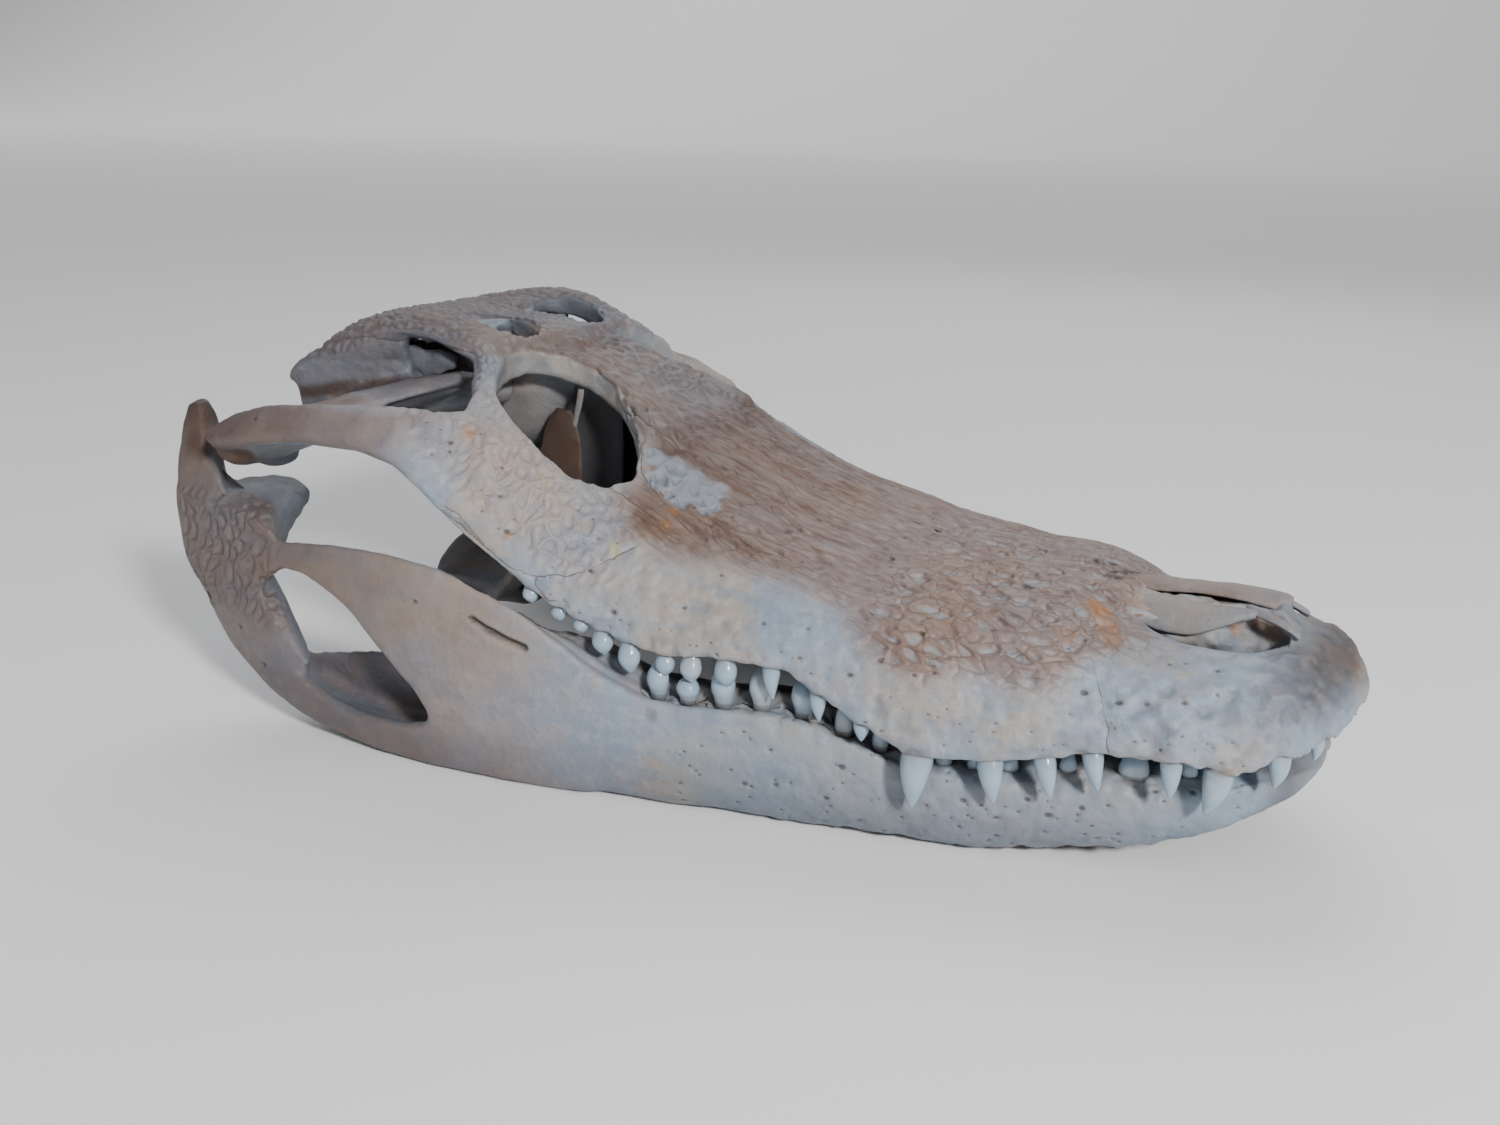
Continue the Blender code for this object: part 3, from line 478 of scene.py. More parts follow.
def mesh_points(mesh):
    points = np.zeros(3 * len(mesh.vertices))
    mesh.vertices.foreach_get("co", points)
    return points.reshape(-1, 3) / MM


def move_points(mesh, points):
    """Put the mesh's points where the array says, in millimetres."""
    mesh.vertices.foreach_set("co", (points * MM).ravel())
    mesh.update()


def neighbour_mean(values, pairs):
    """For each point, the mean of the values at the other ends of its edges."""
    count = np.bincount(pairs.ravel(), minlength=len(values))
    total = np.zeros_like(values)
    for k in range(values.shape[1]):
        total[:, k] = np.bincount(pairs[:, 0], values[pairs[:, 1], k], len(values))
        total[:, k] += np.bincount(pairs[:, 1], values[pairs[:, 0], k], len(values))
    return total / np.maximum(count, 1)[:, None]


def relax(points, pairs, rounds):
    """Pull each point to its neighbours and push back again, which smooths without shrinking."""
    for _ in range(rounds):
        for share in (RELAX_IN, RELAX_OUT):
            points = points + share * (neighbour_mean(points, pairs) - points)
    return points


def melted(points, pairs, share, rounds):
    """Smooth hard some of the points: each moves to its neighbours by its own share in every round."""
    for _ in range(rounds):
        points = points + share[:, None] * (neighbour_mean(points, pairs) - points)
    return points


def fused(name, nodes, knobs):
    """One smooth surface of quads from copies of these solids."""
    copies = [welded_copy(node) for node in nodes]
    select_only(*copies)
    bpy.ops.object.join()
    item = bpy.context.object
    item.name = name
    item.data.remesh_voxel_size = VOXEL * MM
    bpy.ops.object.voxel_remesh()
    pairs = edge_pairs(item.data)
    points = relax(mesh_points(item.data), pairs, RELAX_ROUNDS)
    if knobs:
        points = melted(points, pairs, MELT_SHARE * blots(points, knobs), MELT_ROUNDS)
    move_points(item.data, points)
    finer = item.modifiers.new("finer", "SUBSURF")
    finer.levels = finer.render_levels = 1
    select_only(item)
    bpy.ops.object.modifier_apply(modifier="finer")
    print(name, "faces", len(item.data.polygons))
    return item


# %% [markdown]
# ## Where the teeth stand
#
# The tooth rows follow the margins of the jaws. The tables give each tooth's place along the skull,
# its crown length, its width at the gum and how far its tip leans forward, in millimetres, as in the
# solids. The margin curves give the outer edge of the jaw from above and its height from the side.

# %% Tooth tables
MARGIN_WIDTH = [
    (-82, 89.5), (-70, 87.5), (-55, 83.0), (-38, 78.0), (-18, 73.5), (2, 70), (22, 67.5), (42, 66),
    (57, 65), (72, 63.5), (87, 59), (102, 55), (112, 51), (120, 50.5), (132, 49.5), (140, 46.5),
    (147, 43), (157, 36), (164, 28), (169, 18), (172, 4),
]
MARGIN_HEIGHT = [
    (-82, 97), (-73, 91), (-60, 78), (-44, 65), (-38, 60), (-29, 55), (-18, 50), (-9, 47.5), (1, 46),
    (19, 47.5), (32, 47.5), (44, 42), (56, 36.5), (72, 30.5), (89, 31), (102, 33), (117, 36.5),
    (133, 36.8), (144, 35), (156, 38.5), (167, 42), (172, 45),
]
JAW_OUTER = [
    (166.0, 0), (164, 12), (156, 24), (144, 33.5), (128, 40.5), (113, 44.5), (98, 48.5), (80, 54),
    (60, 58.5), (30, 64.5), (0, 71), (-30, 77), (-60, 81.5), (-100, 84), (-130, 84), (-152, 82),
    (-172, 77),
]
JAW_TOP = [
    (-173, 62), (-166, 80), (-159, 84), (-153, 80), (-149, 74), (-142, 65), (-136, 61.5), (-115, 64),
    (-95, 65.5), (-75, 64), (-60, 61), (-45, 56), (-28, 47), (-16, 40.5), (-6, 37), (10, 36),
    (28, 37.5), (36, 37), (44, 35), (56, 30.5), (72, 26.5), (90, 26), (105, 27.5), (117, 28.5),
    (132, 29), (150, 31), (160, 32), (166, 33),
]
UPPER_TEETH = [
    (170, 5, 3.6, 0), (166, 6, 4.2, 0), (158, 9, 6.0, -0.5), (144.8, 12, 7.6, -2.6),
    (132.8, 9, 5.4, 0.6), (113, 10, 5.6, 2.6), (103, 10.5, 5.8, 2.6), (89.5, 12, 7.0, 2.0),
    (71.5, 15, 8.6, -0.6), (56, 5.5, 5.0, 0), (43.5, 8, 5.0, 0.6), (30, 9, 5.2, 0.8),
    (17, 8.5, 5.0, 0.6), (7, 7, 4.8, 0.4), (-0.5, 6, 4.4, 0.4), (-10.8, 8.5, 5.0, 0.6),
    (-18.6, 7, 4.8, 0.8), (-24.8, 4, 3.6, 0.6), (-31, 4, 3.6, 0.6), (-39, 4.5, 3.6, 0.6),
]
LOWER_TEETH = [
    (163, 6, 4.6, 0), (151, 5, 4.4, 0), (137, 5, 4.4, 0), (123, 8.5, 8.0, 0), (107, 5.5, 4.6, 0),
    (93, 5, 4.6, 0), (84, 4.5, 3.8, 0), (76, 5, 4.6, 0), (59, 6.5, 4.6, 0), (49, 7.5, 5.0, 0),
    (38, 8, 5.4, 0), (26.5, 8, 5.4, 0), (16, 8.5, 5.4, 0), (6, 4, 5.2, 0), (-2.5, 7, 5.0, 0),
]
UPPER_INSET = 4.2
LOWER_INSET = 6.2
TROUGH_DEPTH = [(-64, 0), (-52, 2.4), (48, 2.4), (70, 1.2), (100, 0.6), (166, 0.4)]
TOOTH_FLARE = 0.08
GUM_COVER = 0.6
UPPER_SEED = 7
LOWER_SEED = 12
margin_width = curve(MARGIN_WIDTH)
margin_height = curve(MARGIN_HEIGHT)
jaw_outer = curve(JAW_OUTER)
jaw_top = curve(JAW_TOP)
trough_depth = curve(TROUGH_DEPTH)


class Tooth:
    """Where one tooth stands: the middle of its gum line, its tip, and its width."""

    def __init__(self, base, tip, width, outward, place):
        self.base = np.array(base, float)
        self.tip = np.array(tip, float)
        self.width = width
        self.outward = np.array(outward, float)
        self.place = place


def tooth_row(table, edge, level, inset, direction, side, seed):
    """The teeth of one row. direction is -1 for teeth that hang and 1 for teeth that stand."""
    draw = np.random.default_rng(seed)
    row = []
    for x, length, width, lean in table:
        slope = edge(x + 0.5) - edge(x - 0.5)
        out = np.array([-slope, 1.0]) / math.hypot(slope, 1.0)
        rim = np.array([x, edge(x)]) - out * inset
        length *= draw.uniform(0.95, 1.05)
        flare = out * (-direction * TOOTH_FLARE * length)
        sunk = trough_depth(x) if direction > 0 else 0.0
        base = (rim[0], side * rim[1], level(x) - direction * GUM_COVER - sunk)
        tip = (rim[0] + flare[0] + lean, side * (rim[1] + flare[1]), level(x) + direction * length)
        row.append(Tooth(base, tip, width, (out[0], side * out[1], 0), x))
    return row


def both_rows(table, edge, level, inset, direction, seed):
    """A jaw's two rows of teeth, by side: -1 is the right one and 1 the left one."""
    return {side: tooth_row(table, edge, level, inset, direction, side, seed + side) for side in (-1, 1)}


upper_rows = both_rows(UPPER_TEETH, margin_width, margin_height, UPPER_INSET, -1, UPPER_SEED)
lower_rows = both_rows(LOWER_TEETH, jaw_outer, jaw_top, LOWER_INSET, 1, LOWER_SEED)
print("teeth", sum(len(row) for row in list(upper_rows.values()) + list(lower_rows.values())))

# %% [markdown]
# ## Steps for sculpting
#
# On the real bone the top of the snout carries a net of ridges, long and wavy in front of the eyes and
# rounder towards the nose. The roof behind the eyes is cobbled, the cheek has a low net of pits, and the
# margins above the teeth are smooth with rows of small nerve holes. Each of these steps works on all
# points at once and returns one number for each.

# %% Shared sculpting steps
STUB_SHARE = 0.5
FAR_AWAY = 4.0


def sink_stubs(points, row):
    """Draw the rough tooth stubs of the solids in, so that the modelled crowns cover them."""
    for tooth in row:
        axis = tooth.tip - tooth.base
        length = np.linalg.norm(axis)
        axis = axis / length
        offset = points - tooth.base
        along = offset @ axis
        away = np.linalg.norm(offset - along[:, None] * axis, axis=1)
        near = (away < 0.85 * tooth.width) & (along > -0.5) & (along < length + 3)
        share = 1 - (1 - STUB_SHARE) * step_up(along[near], -0.5, 2.0)
        points[near] = tooth.base + offset[near] * share[:, None]
    return points


def net(points, sizes, seed, warp):
    """0 on the ridges of a net and 1 in the middle of its hollows."""
    moved = bent(bent(points, max(sizes) * 1.4, warp, seed), 3.0, 0.7, seed + 3)
    near, second = cells(moved, sizes, seed)
    return np.clip((second - near) * 1.6, 0, 1)


def waves(points, sizes, seed, warp):
    """0 on long wavy ridges that fork and join, and 1 in the hollows between them."""
    moved = bent(points, max(sizes), warp, seed) / np.array(sizes)
    return np.clip(np.abs(lumps(moved, 1.0, seed, 2)) * 3.2, 0, 1)


def on_part(make, mask, points):
    """A pattern, worked out only where its mask shows. It is 1 everywhere else."""
    value = np.ones(len(points))
    shown = np.flatnonzero(mask > 0.01)
    value[shown] = make(points[shown])
    return value


def gum_shapes(points, rows):
    """Swellings over the tooth roots, and the distance to the rim of the nearest socket."""
    swell = np.zeros(len(points))
    rim = np.full(len(points), FAR_AWAY)
    for tooth in [tooth for row in rows for tooth in row]:
        axis = (tooth.tip - tooth.base) / np.linalg.norm(tooth.tip - tooth.base)
        sideways = np.cross(axis, tooth.outward)
        near = np.flatnonzero(np.abs(points - tooth.base).max(axis=1) < 13)
        offset = points[near] - tooth.base
        along = offset @ axis
        across = np.abs(offset @ sideways)
        root = step_up(along, 1.5, -1.0) * step_up(along, -10, -3)
        bulge = root * np.exp(-((across / (0.5 * tooth.width + 0.6)) ** 2))
        swell[near] = np.maximum(swell[near], bulge)
        away = np.linalg.norm(offset - along[:, None] * axis, axis=1) - 0.5 * tooth.width
        rim[near] = np.minimum(rim[near], np.hypot(away, np.maximum(np.abs(along) - 2.2, 0)))
    return swell, rim


def beads(points, size, seed):
    """1 on the tops of small round knobs and 0 in the furrows between them."""
    near, second = cells(bent(points, 6.0, 1.0, seed), (size, size, size), seed, 0.8)
    return step_up(second - near, 0.0, 0.55)


HOLE_STRETCH = np.array([0.66, 1.0, 1.0])
HOLE_SHARE = 0.68


def hole_distance(points, normals, spots):
    """Millimetres to the rim of the nearest long hole, less than 0 inside. A spot is x, y, z, radius."""
    distance = np.full(len(points), FAR_AWAY)
    for x, y, z, radius in spots:
        offset = points - np.array([x, y, z])
        near = np.flatnonzero(np.abs(offset).max(axis=1) < FAR_AWAY)
        rise = (offset[near] * normals[near]).sum(axis=1)
        flat = offset[near] - rise[:, None] * normals[near]
        far = np.linalg.norm(flat * HOLE_STRETCH, axis=1) - HOLE_SHARE * radius
        distance[near] = np.minimum(distance[near], far)
    return distance


def crack_distance(points, normals, lines):
    """Signed millimetres to the nearest drawn crack: one side of it counts below 0."""
    best = np.full(len(points), FAR_AWAY)
    signed = best.copy()
    for line in lines:
        for start, end in zip(line[:-1], line[1:]):
            start, end = np.array(start, float), np.array(end, float)
            middle, reach = (start + end) / 2, np.linalg.norm(end - start) / 2 + FAR_AWAY
            near = np.flatnonzero(np.abs(points - middle).max(axis=1) < reach)
            offset = points[near] - start
            ahead = end - start
            share = np.clip(offset @ ahead / ahead.dot(ahead), 0, 1)
            away = offset - share[:, None] * ahead
            far = np.linalg.norm(away, axis=1)
            turn = np.sign((np.cross(ahead, away) * normals[near]).sum(axis=1))
            closer = far < best[near]
            best[near[closer]] = far[closer]
            signed[near[closer]] = (far * turn)[closer]
    return signed


def blots(points, spots):
    """0 to 1: soft uneven patches. Each spot is x, y, z and a radius."""
    patch = np.zeros(len(points))
    ragged = 1 + 0.45 * lumps(points, 3.0, 91, 3)
    for x, y, z, radius in spots:
        far = np.linalg.norm(points - np.array([x, y, z]), axis=1) * ragged
        patch = np.maximum(patch, step_up(far, 1.4 * radius, 0.4 * radius))
    return patch


def scattered_spots(points, mask, count, sizes, seed):
    """Random places on the masked part of the surface, with random radii."""
    draw = np.random.default_rng(seed)
    chosen = np.flatnonzero(mask > 0.5)
    picked = draw.choice(chosen, size=min(count, len(chosen)), replace=False)
    return [(*points[i], draw.uniform(*sizes)) for i in picked]


# %% [markdown]
# ## Marks that are drawn one by one
#
# Noise could scatter cracks, sutures, larger nerve holes and stains too, but each skull has its own, and
# they are what makes it this one. So they are set where the real skull has them: each is a short line or
# a spot on the surface, in millimetres. Small holes are scattered later.

# %% Cracks, holes and stains
CRANIUM_CRACKS = [
    [(-61.3, -84.5, 81.1), (-57, -83.2, 78.5), (-52, -82, 74), (-47.6, -80.4, 70.5),
     (-43.7, -79.1, 67.3), (-39.8, -77.9, 66.4), (-36.4, -77.1, 65.1), (-34, -76.3, 65.5),
     (-30.9, -74.9, 66.3), (-28.3, -73.9, 65.6), (-22, -71, 68.5), (-14, -62, 73.5)],
    [(-60.5, -84.3, 83.0), (-57.0, -83.2, 81.2), (-54.3, -82.4, 77.8), (-51.3, -81.5, 74.6),
     (-48.1, -80.4, 71.5)],
    [(-36.4, -77.1, 65.1), (-36.2, -77.4, 62.6), (-34.8, -76.7, 60.3), (-32.9, -76.2, 58.8),
     (-30.7, -76.0, 58.9)],
    [(-43.4, -23.2, 104.5), (-40.6, -24.9, 101.8), (-38.2, -26.4, 98.7), (-35.6, -28.4, 96.6),
     (-29.9, -34.1, 95.7), (-26.6, -38.0, 93.2), (-23.1, -43.2, 89.5), (-15, -47, 84.5)],
    [(-40.6, -24.9, 101.8), (-36.8, -27.5, 101.2), (-34.6, -28.3, 102.2), (-29.1, -29.9, 99.8),
     (-20, -29, 96), (-6, -24, 90), (4, -20, 86)],
    [(-31, -55, 88), (-24.9, -53.1, 85.7), (-19.3, -52.9, 82.8), (-12, -53.5, 79.5)],
    [(117.3, -50.4, 38.5), (116.5, -50.3, 41.5), (116.5, -49.7, 44.5), (114.6, -47.5, 47.6),
     (112.7, -45.6, 52.4), (108, -40, 57)],
    [(6.8, -16.1, 84.0), (10.1, -18.7, 82.6), (13.7, -22.8, 80.8)],
    [(-132, -51, 117), (-126, -49.3, 118.9), (-119.6, -47.8, 119.8), (-111.2, -45.8, 119.0),
     (-100, -44.5, 118.4), (-90, -43.8, 118), (-82.8, -43.3, 117.9), (-76, -45, 117)],
    [(0.0, -44.9, 78.2), (3.5, -48.1, 75.5)],
    [(10.4, -45.1, 74.7), (13.6, -45.8, 73.6)],
]
CRANIUM_HOLES = [
    (26.6, -62.6, 59.1, 0.6), (38.5, -60.0, 59.2, 0.5), (38.5, -64.9, 52.4, 0.6),
    (59.1, -59.4, 54, 0.8), (52.2, -63.0, 49.9, 0.8), (66.9, -51.0, 60.6, 0.7),
    (68.4, -59.2, 51.9, 0.6), (73.1, -57.5, 52.9, 0.5), (52.5, -50.5, 63.1, 0.6),
    (10.4, -56.5, 68.0, 0.5), (4.0, -65.3, 60.1, 0.6), (-14.6, -71.7, 57.2, 0.9),
    (-22.7, -70.5, 67.3, 0.7), (109.3, -47.5, 51.7, 1.0), (117.8, -46.6, 50.4, 0.9),
    (124.1, -44.9, 51.2, 0.6), (132.7, -42.1, 52.3, 0.7), (126.5, -32.3, 58.2, 0.6),
    (130.1, -30.5, 58.4, 0.6), (137.8, -29.4, 58, 0.6), (139.7, -37.2, 54.1, 0.5),
    (-63.8, -77.0, 99.5, 0.8), (-62.8, -78.7, 97.4, 0.6), (-50.5, -71.8, 93, 0.6),
    (-48.3, -75.9, 86.1, 0.6), (-44.7, -78.2, 77.0, 0.9), (-126.5, -87.5, 100.6, 0.7),
]
JAW_HOLES = [
    (42.9, -58.3, 33.2, 1.2), (46.2, -61.0, 12.0, 0.8), (49.9, -60.3, 21.6, 1.0),
    (66.9, -58.4, 22, 0.8), (82.0, -53.3, 17.0, 0.9), (111.0, -44.8, 18.5, 0.8),
    (90.5, -50.7, 12.8, 0.7), (103.1, -47.0, 15.4, 1.0), (97.6, -48.2, 19.1, 0.8),
    (117.3, -43.1, 20.2, 0.6), (127.8, -38.7, 25.2, 0.7), (136.6, -35.6, 25.8, 0.7),
    (23.6, -65.6, 12.2, 0.8), (32.2, -63.8, 13.3, 0.8), (30.6, -64.3, 23.8, 0.6),
    (-149.5, -80.9, 73.1, 0.7), (-145.6, -82.8, 31.2, 0.7), (-136.6, -83.5, 20.5, 0.7),
    (-75.0, -82.5, 52.4, 0.7),
]
JAW_SLIT = [
    (-56, -80.7, 50.2), (-52.1, -80.3, 48.2), (-48.7, -79.8, 46.9), (-44.9, -79.3, 45.3),
    (-40, -78.6, 43.9),
]
ORANGE_STAINS = [
    (-9.7, -48.2, 80.7, 1.6), (-9.2, -52.3, 78.0, 2.0), (106.0, -24.2, 65.8, 4.0),
    (109.5, -29.2, 63.0, 3.5), (111.5, -32.2, 61.1, 3.0), (102, -38, 62.5, 3.0),
    (-27.7, -65.8, 78.2, 1.6), (-17.1, -61.1, 75.5, 1.8), (-44.5, -78.0, 76.0, 1.6),
    (-61.0, -72.0, 101.5, 2.4), (144.3, -6.1, 63.2, 3.0), (147.7, -6.3, 61.7, 3.0),
    (139.3, -8.7, 61.6, 2.4), (143, -13, 60.5, 2.2),
]
YELLOW_STAINS = [(-14.6, -59.8, 75.3, 2.6), (-13.2, -58.4, 76.0, 2.2), (-18.3, -64.8, 72.6, 2.6)]
BLACK_STAINS = [
    (98.4, 4.3, 69.8, 2.2), (101.4, 8.0, 69.2, 2.0), (107, 5.3, 67.9, 3.0), (113.3, 5.5, 67.2, 2.6),
    (117, 3.0, 68.5, 2.0), (86.6, -25.4, 68.7, 1.8), (97.4, -23.3, 68.7, 1.6), (104.4, -2.9, 68.7, 2.6),
]
PALE_PATCHES = [
    (-22.5, -36.5, 93, 3.6), (-17, -36, 90.5, 5.0), (-17, -42, 87.5, 4.6), (-11, -35, 88, 5.0),
    (-11, -42, 84.5, 5.0), (-5, -35, 85.5, 4.6), (-4, -40, 82.5, 4.6),
]
BROWN_STAINS = [(-140, -82, 85, 7), (-147, -84, 85, 7), (-146, -76, 83, 7), (-160, -76, 84, 6)]
BROWN_STREAKS = [
    [(-152, -62, 99.5), (-140.2, -55.4, 101.5), (-128, -50.7, 103.3), (-115.4, -46.7, 105.3),
     (-103, -44, 107.5)],
]
RETRO_STAINS = [(-164, -78, 98, 8), (-159, -76, 99, 8), (-161, -79, 88, 6)]
KNOBS = [(-23.5, -29, 99.0, 7.0), (-73.5, -45, 118.0, 7.0)]
NARIS_RIM = [
    (112, 62), (115, 61.2), (121, 59), (128, 58.9), (134, 59.6), (141, 62.4), (146, 64.9), (150, 68),
]
naris_rim = curve(NARIS_RIM)
JAW_STAINS = [(-133.5, -79, 36.5, 3.2), (-141, -84, 88, 3.0)]
JAW_DENTS = [
    (6.2, -65.4, 36.5, 2.6), (14.6, -63.7, 37.7, 2.6), (24, -64.5, 35, 2.0), (-3.3, -70.9, 29.0, 2.2),
]
TOP_SEAMS = [
    [(-38, -6, 0), (-24, -8, 0), (0, -8.5, 0), (30, -8, 0), (60, -7, 0), (84, -6, 0), (104, -3.5, 0)],
    [(-38, 6, 0), (-24, 8, 0), (0, 8.5, 0), (30, 8, 0), (60, 7, 0), (84, 6, 0), (104, 3.5, 0)],
    [(-26, 0, 0), (10, 0.4, 0), (50, -0.3, 0), (90, 0.2, 0), (108, 0, 0)],
    [(-80, -24, 0), (-83, -12, 0), (-79, -4, 0), (-82, 4, 0), (-83, 12, 0), (-80, 24, 0)],
]


def mirrored_marks(marks):
    """The same marks for the other side."""
    return [(x, -y, z, radius) for x, y, z, radius in marks]


def mirrored_lines(lines):
    return [[(x, -y, z) for x, y, z in line] for line in lines]


print("cracks", len(CRANIUM_CRACKS), "holes", len(CRANIUM_HOLES) + len(JAW_HOLES))

# %% [markdown]
# ## Patterns of the relief
#
# The snout slopes down towards the nose. Its patterns are laid on points whose slope has been taken out,
# or a long ridge would dive into the bone and come out short.

# %% Patterns
SNOUT_FALL = [
    (-90, 118), (-50, 109), (-30, 101), (0, 87), (20, 80), (41, 75), (74, 70.5), (105, 67), (140, 66),
]
snout_fall = curve(SNOUT_FALL)
# Sizes of the cells of each pattern, in millimetres along, across and up
LONG_WAVES = (20.0, 3.2, 3.4)
LONG_CELLS = (13.0, 3.8, 3.8)
ROUND_CELLS = (7.0, 4.2, 4.2)
BROW_CELLS = (6.5, 5.2, 5.2)
CHEEK_CELLS = (3.6, 4.0, 5.8)
LARGE_CELLS = (5.2, 4.8, 4.8)
REAR_CELLS = (3.8, 4.0, 7.5)
KNOB_SIZE = 3.2
CHEEK_LEAN = 0.35
REAR_LEAN = 0.3


def laid_level(points):
    """The points with the snout's slope taken out, so that long patterns run along its surface."""
    return points - np.outer(snout_fall(points[:, 0]), (0, 0, 1))


def long_wrinkles(points):
    at = laid_level(points)
    return np.minimum(waves(at, LONG_WAVES, seed=11, warp=1.4), net(at, LONG_CELLS, seed=15, warp=1.4))


def round_pits(points):
    return net(laid_level(points), ROUND_CELLS, seed=12, warp=1.8)


def brow_wrinkles(points):
    return net(laid_level(points), BROW_CELLS, seed=35, warp=2.4)


def leaning(points, slope):
    """The points leaned in the side view, so that a pattern's upright lines lean with them."""
    return points @ np.array([[1.0, 0, slope], [0, 1, 0], [-slope, 0, 1.0]])


def cheek_pits(points):
    return net(leaning(points, CHEEK_LEAN), CHEEK_CELLS, seed=42, warp=2.4)


def large_pits(points):
    return net(points, LARGE_CELLS, seed=45, warp=0.8)


def roof_knobs(points):
    return beads(points, KNOB_SIZE, seed=21)


def rear_pits(points):
    return net(leaning(points, REAR_LEAN), REAR_CELLS, seed=66, warp=2.2)


print("snout height over the eyes", snout_fall(-30.0), "and at the nose", snout_fall(140.0))

# %% [markdown]
# ## Areas of the cranium
#
# Everything is worked out for all points of the surface at once. The areas come first: a mask from 0 to
# 1 for each region. Their limits are millimetres: x along the skull towards the nose, side across it
# from the middle, z above the floor. A level of 0 is at the tooth margin and 1 at the top of the snout.

# %% Areas of the cranium
MIDDLE_HEIGHT = 52
MARGIN_TO_TOP = 26.0


class Surface:
    """The points of a bone surface and their normals, with the numbers that many masks share."""

    def __init__(self, points, normals):
        self.points = points
        self.normals = normals
        self.x, self.y, self.z = points.T
        self.side = np.abs(self.y)
        self.up = normals[:, 2]


def snout_areas(skin, area):
    """The nostrils, the bar between them and the rough top of the snout."""
    x, z, side = skin.x, skin.z, skin.side
    area.nares = window(x, 112, 150, 2) * step_up(side, 19, 17) * step_up(z, 50, 54)
    area.bar = window(x, 112, 147, 3) * step_up(side, 14, 10) * step_up(z, 57, 61) * area.outside
    snout = area.outside * step_up(x, -30, -14) * step_up(x, 136, 112) * (1 - area.nares)
    start = 0.62 + 0.28 * step_up(x, 34, -6)
    area.top = snout * step_up(area.level + 0.2 * lumps(skin.points, 14, 3), start, start + 0.36)
    area.front = step_up(x + 8 * lumps(skin.points, 20, 4, 1), 24, 66)


def roof_areas(skin, area):
    """The skull table, the forehead, the cheek and the pale pitted patch before the eye."""
    x, z, side = skin.x, skin.z, skin.side
    edge = 8 * step_up(side, 34, 38)
    area.table = area.outside * step_up(x, edge - 72, edge - 79)
    area.table *= step_up(z, 110, 114) * step_up(skin.up, 0.0, 0.4)
    area.forehead = area.outside * window(x, -76, -18, 5)
    area.forehead *= step_up(side, 40, 28) * step_up(skin.up, 0.1, 0.45)
    area.cheek = area.outside * window(x, -88, -16, 8)
    area.cheek *= step_up(side, 46, 56) * step_up(area.level, 0.2, 0.6)
    patches = blots(skin.points, PALE_PATCHES + mirrored_marks(PALE_PATCHES))
    area.lacrimal = step_up(patches * area.outside, 0.1, 0.7)
    rings = ((x + 98) / 8.5) ** 2 + ((side - 13.5) / 5.5) ** 2
    area.sag = step_up(rings, 1.25, 0.75) * step_up(z, 106, 112)


def rear_areas(skin, area):
    """The parts behind and inside: the recess under the table, the ear, the bars, the eye socket's cave."""
    x, z, side = skin.x, skin.z, skin.side
    bar_line = 108.4 - 0.2027 * (side - 32.3)
    area.recess = window(side, 34, 58, 2) * step_up(z, bar_line - 0.3, bar_line - 2.2) * step_up(z, 92, 95)
    area.recess *= step_up(x, -114, -108) * step_up(x, -84, -88) * step_up(skin.normals[:, 0], 0.0, 0.3)
    area.otic = window(x, -126, -100, 5) * step_up(z, 116, 112)
    area.otic *= step_up(z, 96, 101) * step_up(side, 52, 46)
    area.pillar = window(x, -50, -18, 2) * step_up(side, 36, 33) * step_up(z, 101, 98) * step_up(z, 60, 64)
    area.pillar *= 1 - area.outside * step_up(z, 92, 96)
    area.jugal_bar = area.outside * step_up(x, -66, -84) * step_up(side, 58, 66) * step_up(z, 108, 104)
    area.cave = step_up(side, 34, 28) * window(x, -108, -40, 5) * window(z, 64, 102, 3)
    margin = margin_height(x)
    area.mouth = (1 - area.outside) * step_up(z, margin + 16, margin + 8) * window(x, -70, 160, 6)


def cranium_areas(skin):
    """All masks of the cranium, each from 0 to 1."""
    area = SimpleNamespace()
    away = np.stack([0 * skin.x, skin.y, skin.z - MIDDLE_HEIGHT], axis=1)
    facing = (skin.normals * away).sum(axis=1) / np.linalg.norm(away, axis=1)
    area.outside = step_up(facing, 0.0, 0.35)
    area.level = (skin.z - margin_height(skin.x)) / MARGIN_TO_TOP
    snout_areas(skin, area)
    roof_areas(skin, area)
    rear_areas(skin, area)
    return area


print("areas of the cranium are ready")

# %% [markdown]
# ## Heights of the cranium
#
# Each kind of relief is its pattern times its mask times its depth in millimetres. Softer lumps keep the
# smooth bone from looking cast. Then come the swellings over the tooth roots, the small nerve holes and
# the cracks.

# %% Heights of the cranium
SNOUT_DEPTH = 1.35
FOREHEAD_DEPTH = 1.9
CHEEK_DEPTH = 0.8
LACRIMAL_DEPTH = 2.3
KNOB_HEIGHT = 0.9
RIDGE_SHARE = 0.3
BAR_FALL = 2.5
SAG_DEPTH = 6.0
RECESS_DEPTH = 3.0


def cranium_relief(skin, area):
    """The kinds of relief, each as its mask, its pattern and its depth."""
    points, top, front = skin.points, area.top, area.front
    snout_net = on_part(long_wrinkles, top * (1 - front), points) * (1 - front)
    snout_net += on_part(round_pits, top * front, points) * front
    wrinkles = on_part(brow_wrinkles, area.forehead, points)
    cheek_net = on_part(cheek_pits, area.cheek, points)
    pits = on_part(large_pits, area.lacrimal, points)
    others = 1 - area.lacrimal
    return [
        (top * others, snout_net, SNOUT_DEPTH), (area.forehead * others, wrinkles, FOREHEAD_DEPTH),
        (area.cheek * others, cheek_net, CHEEK_DEPTH), (area.lacrimal, pits, LACRIMAL_DEPTH),
    ]


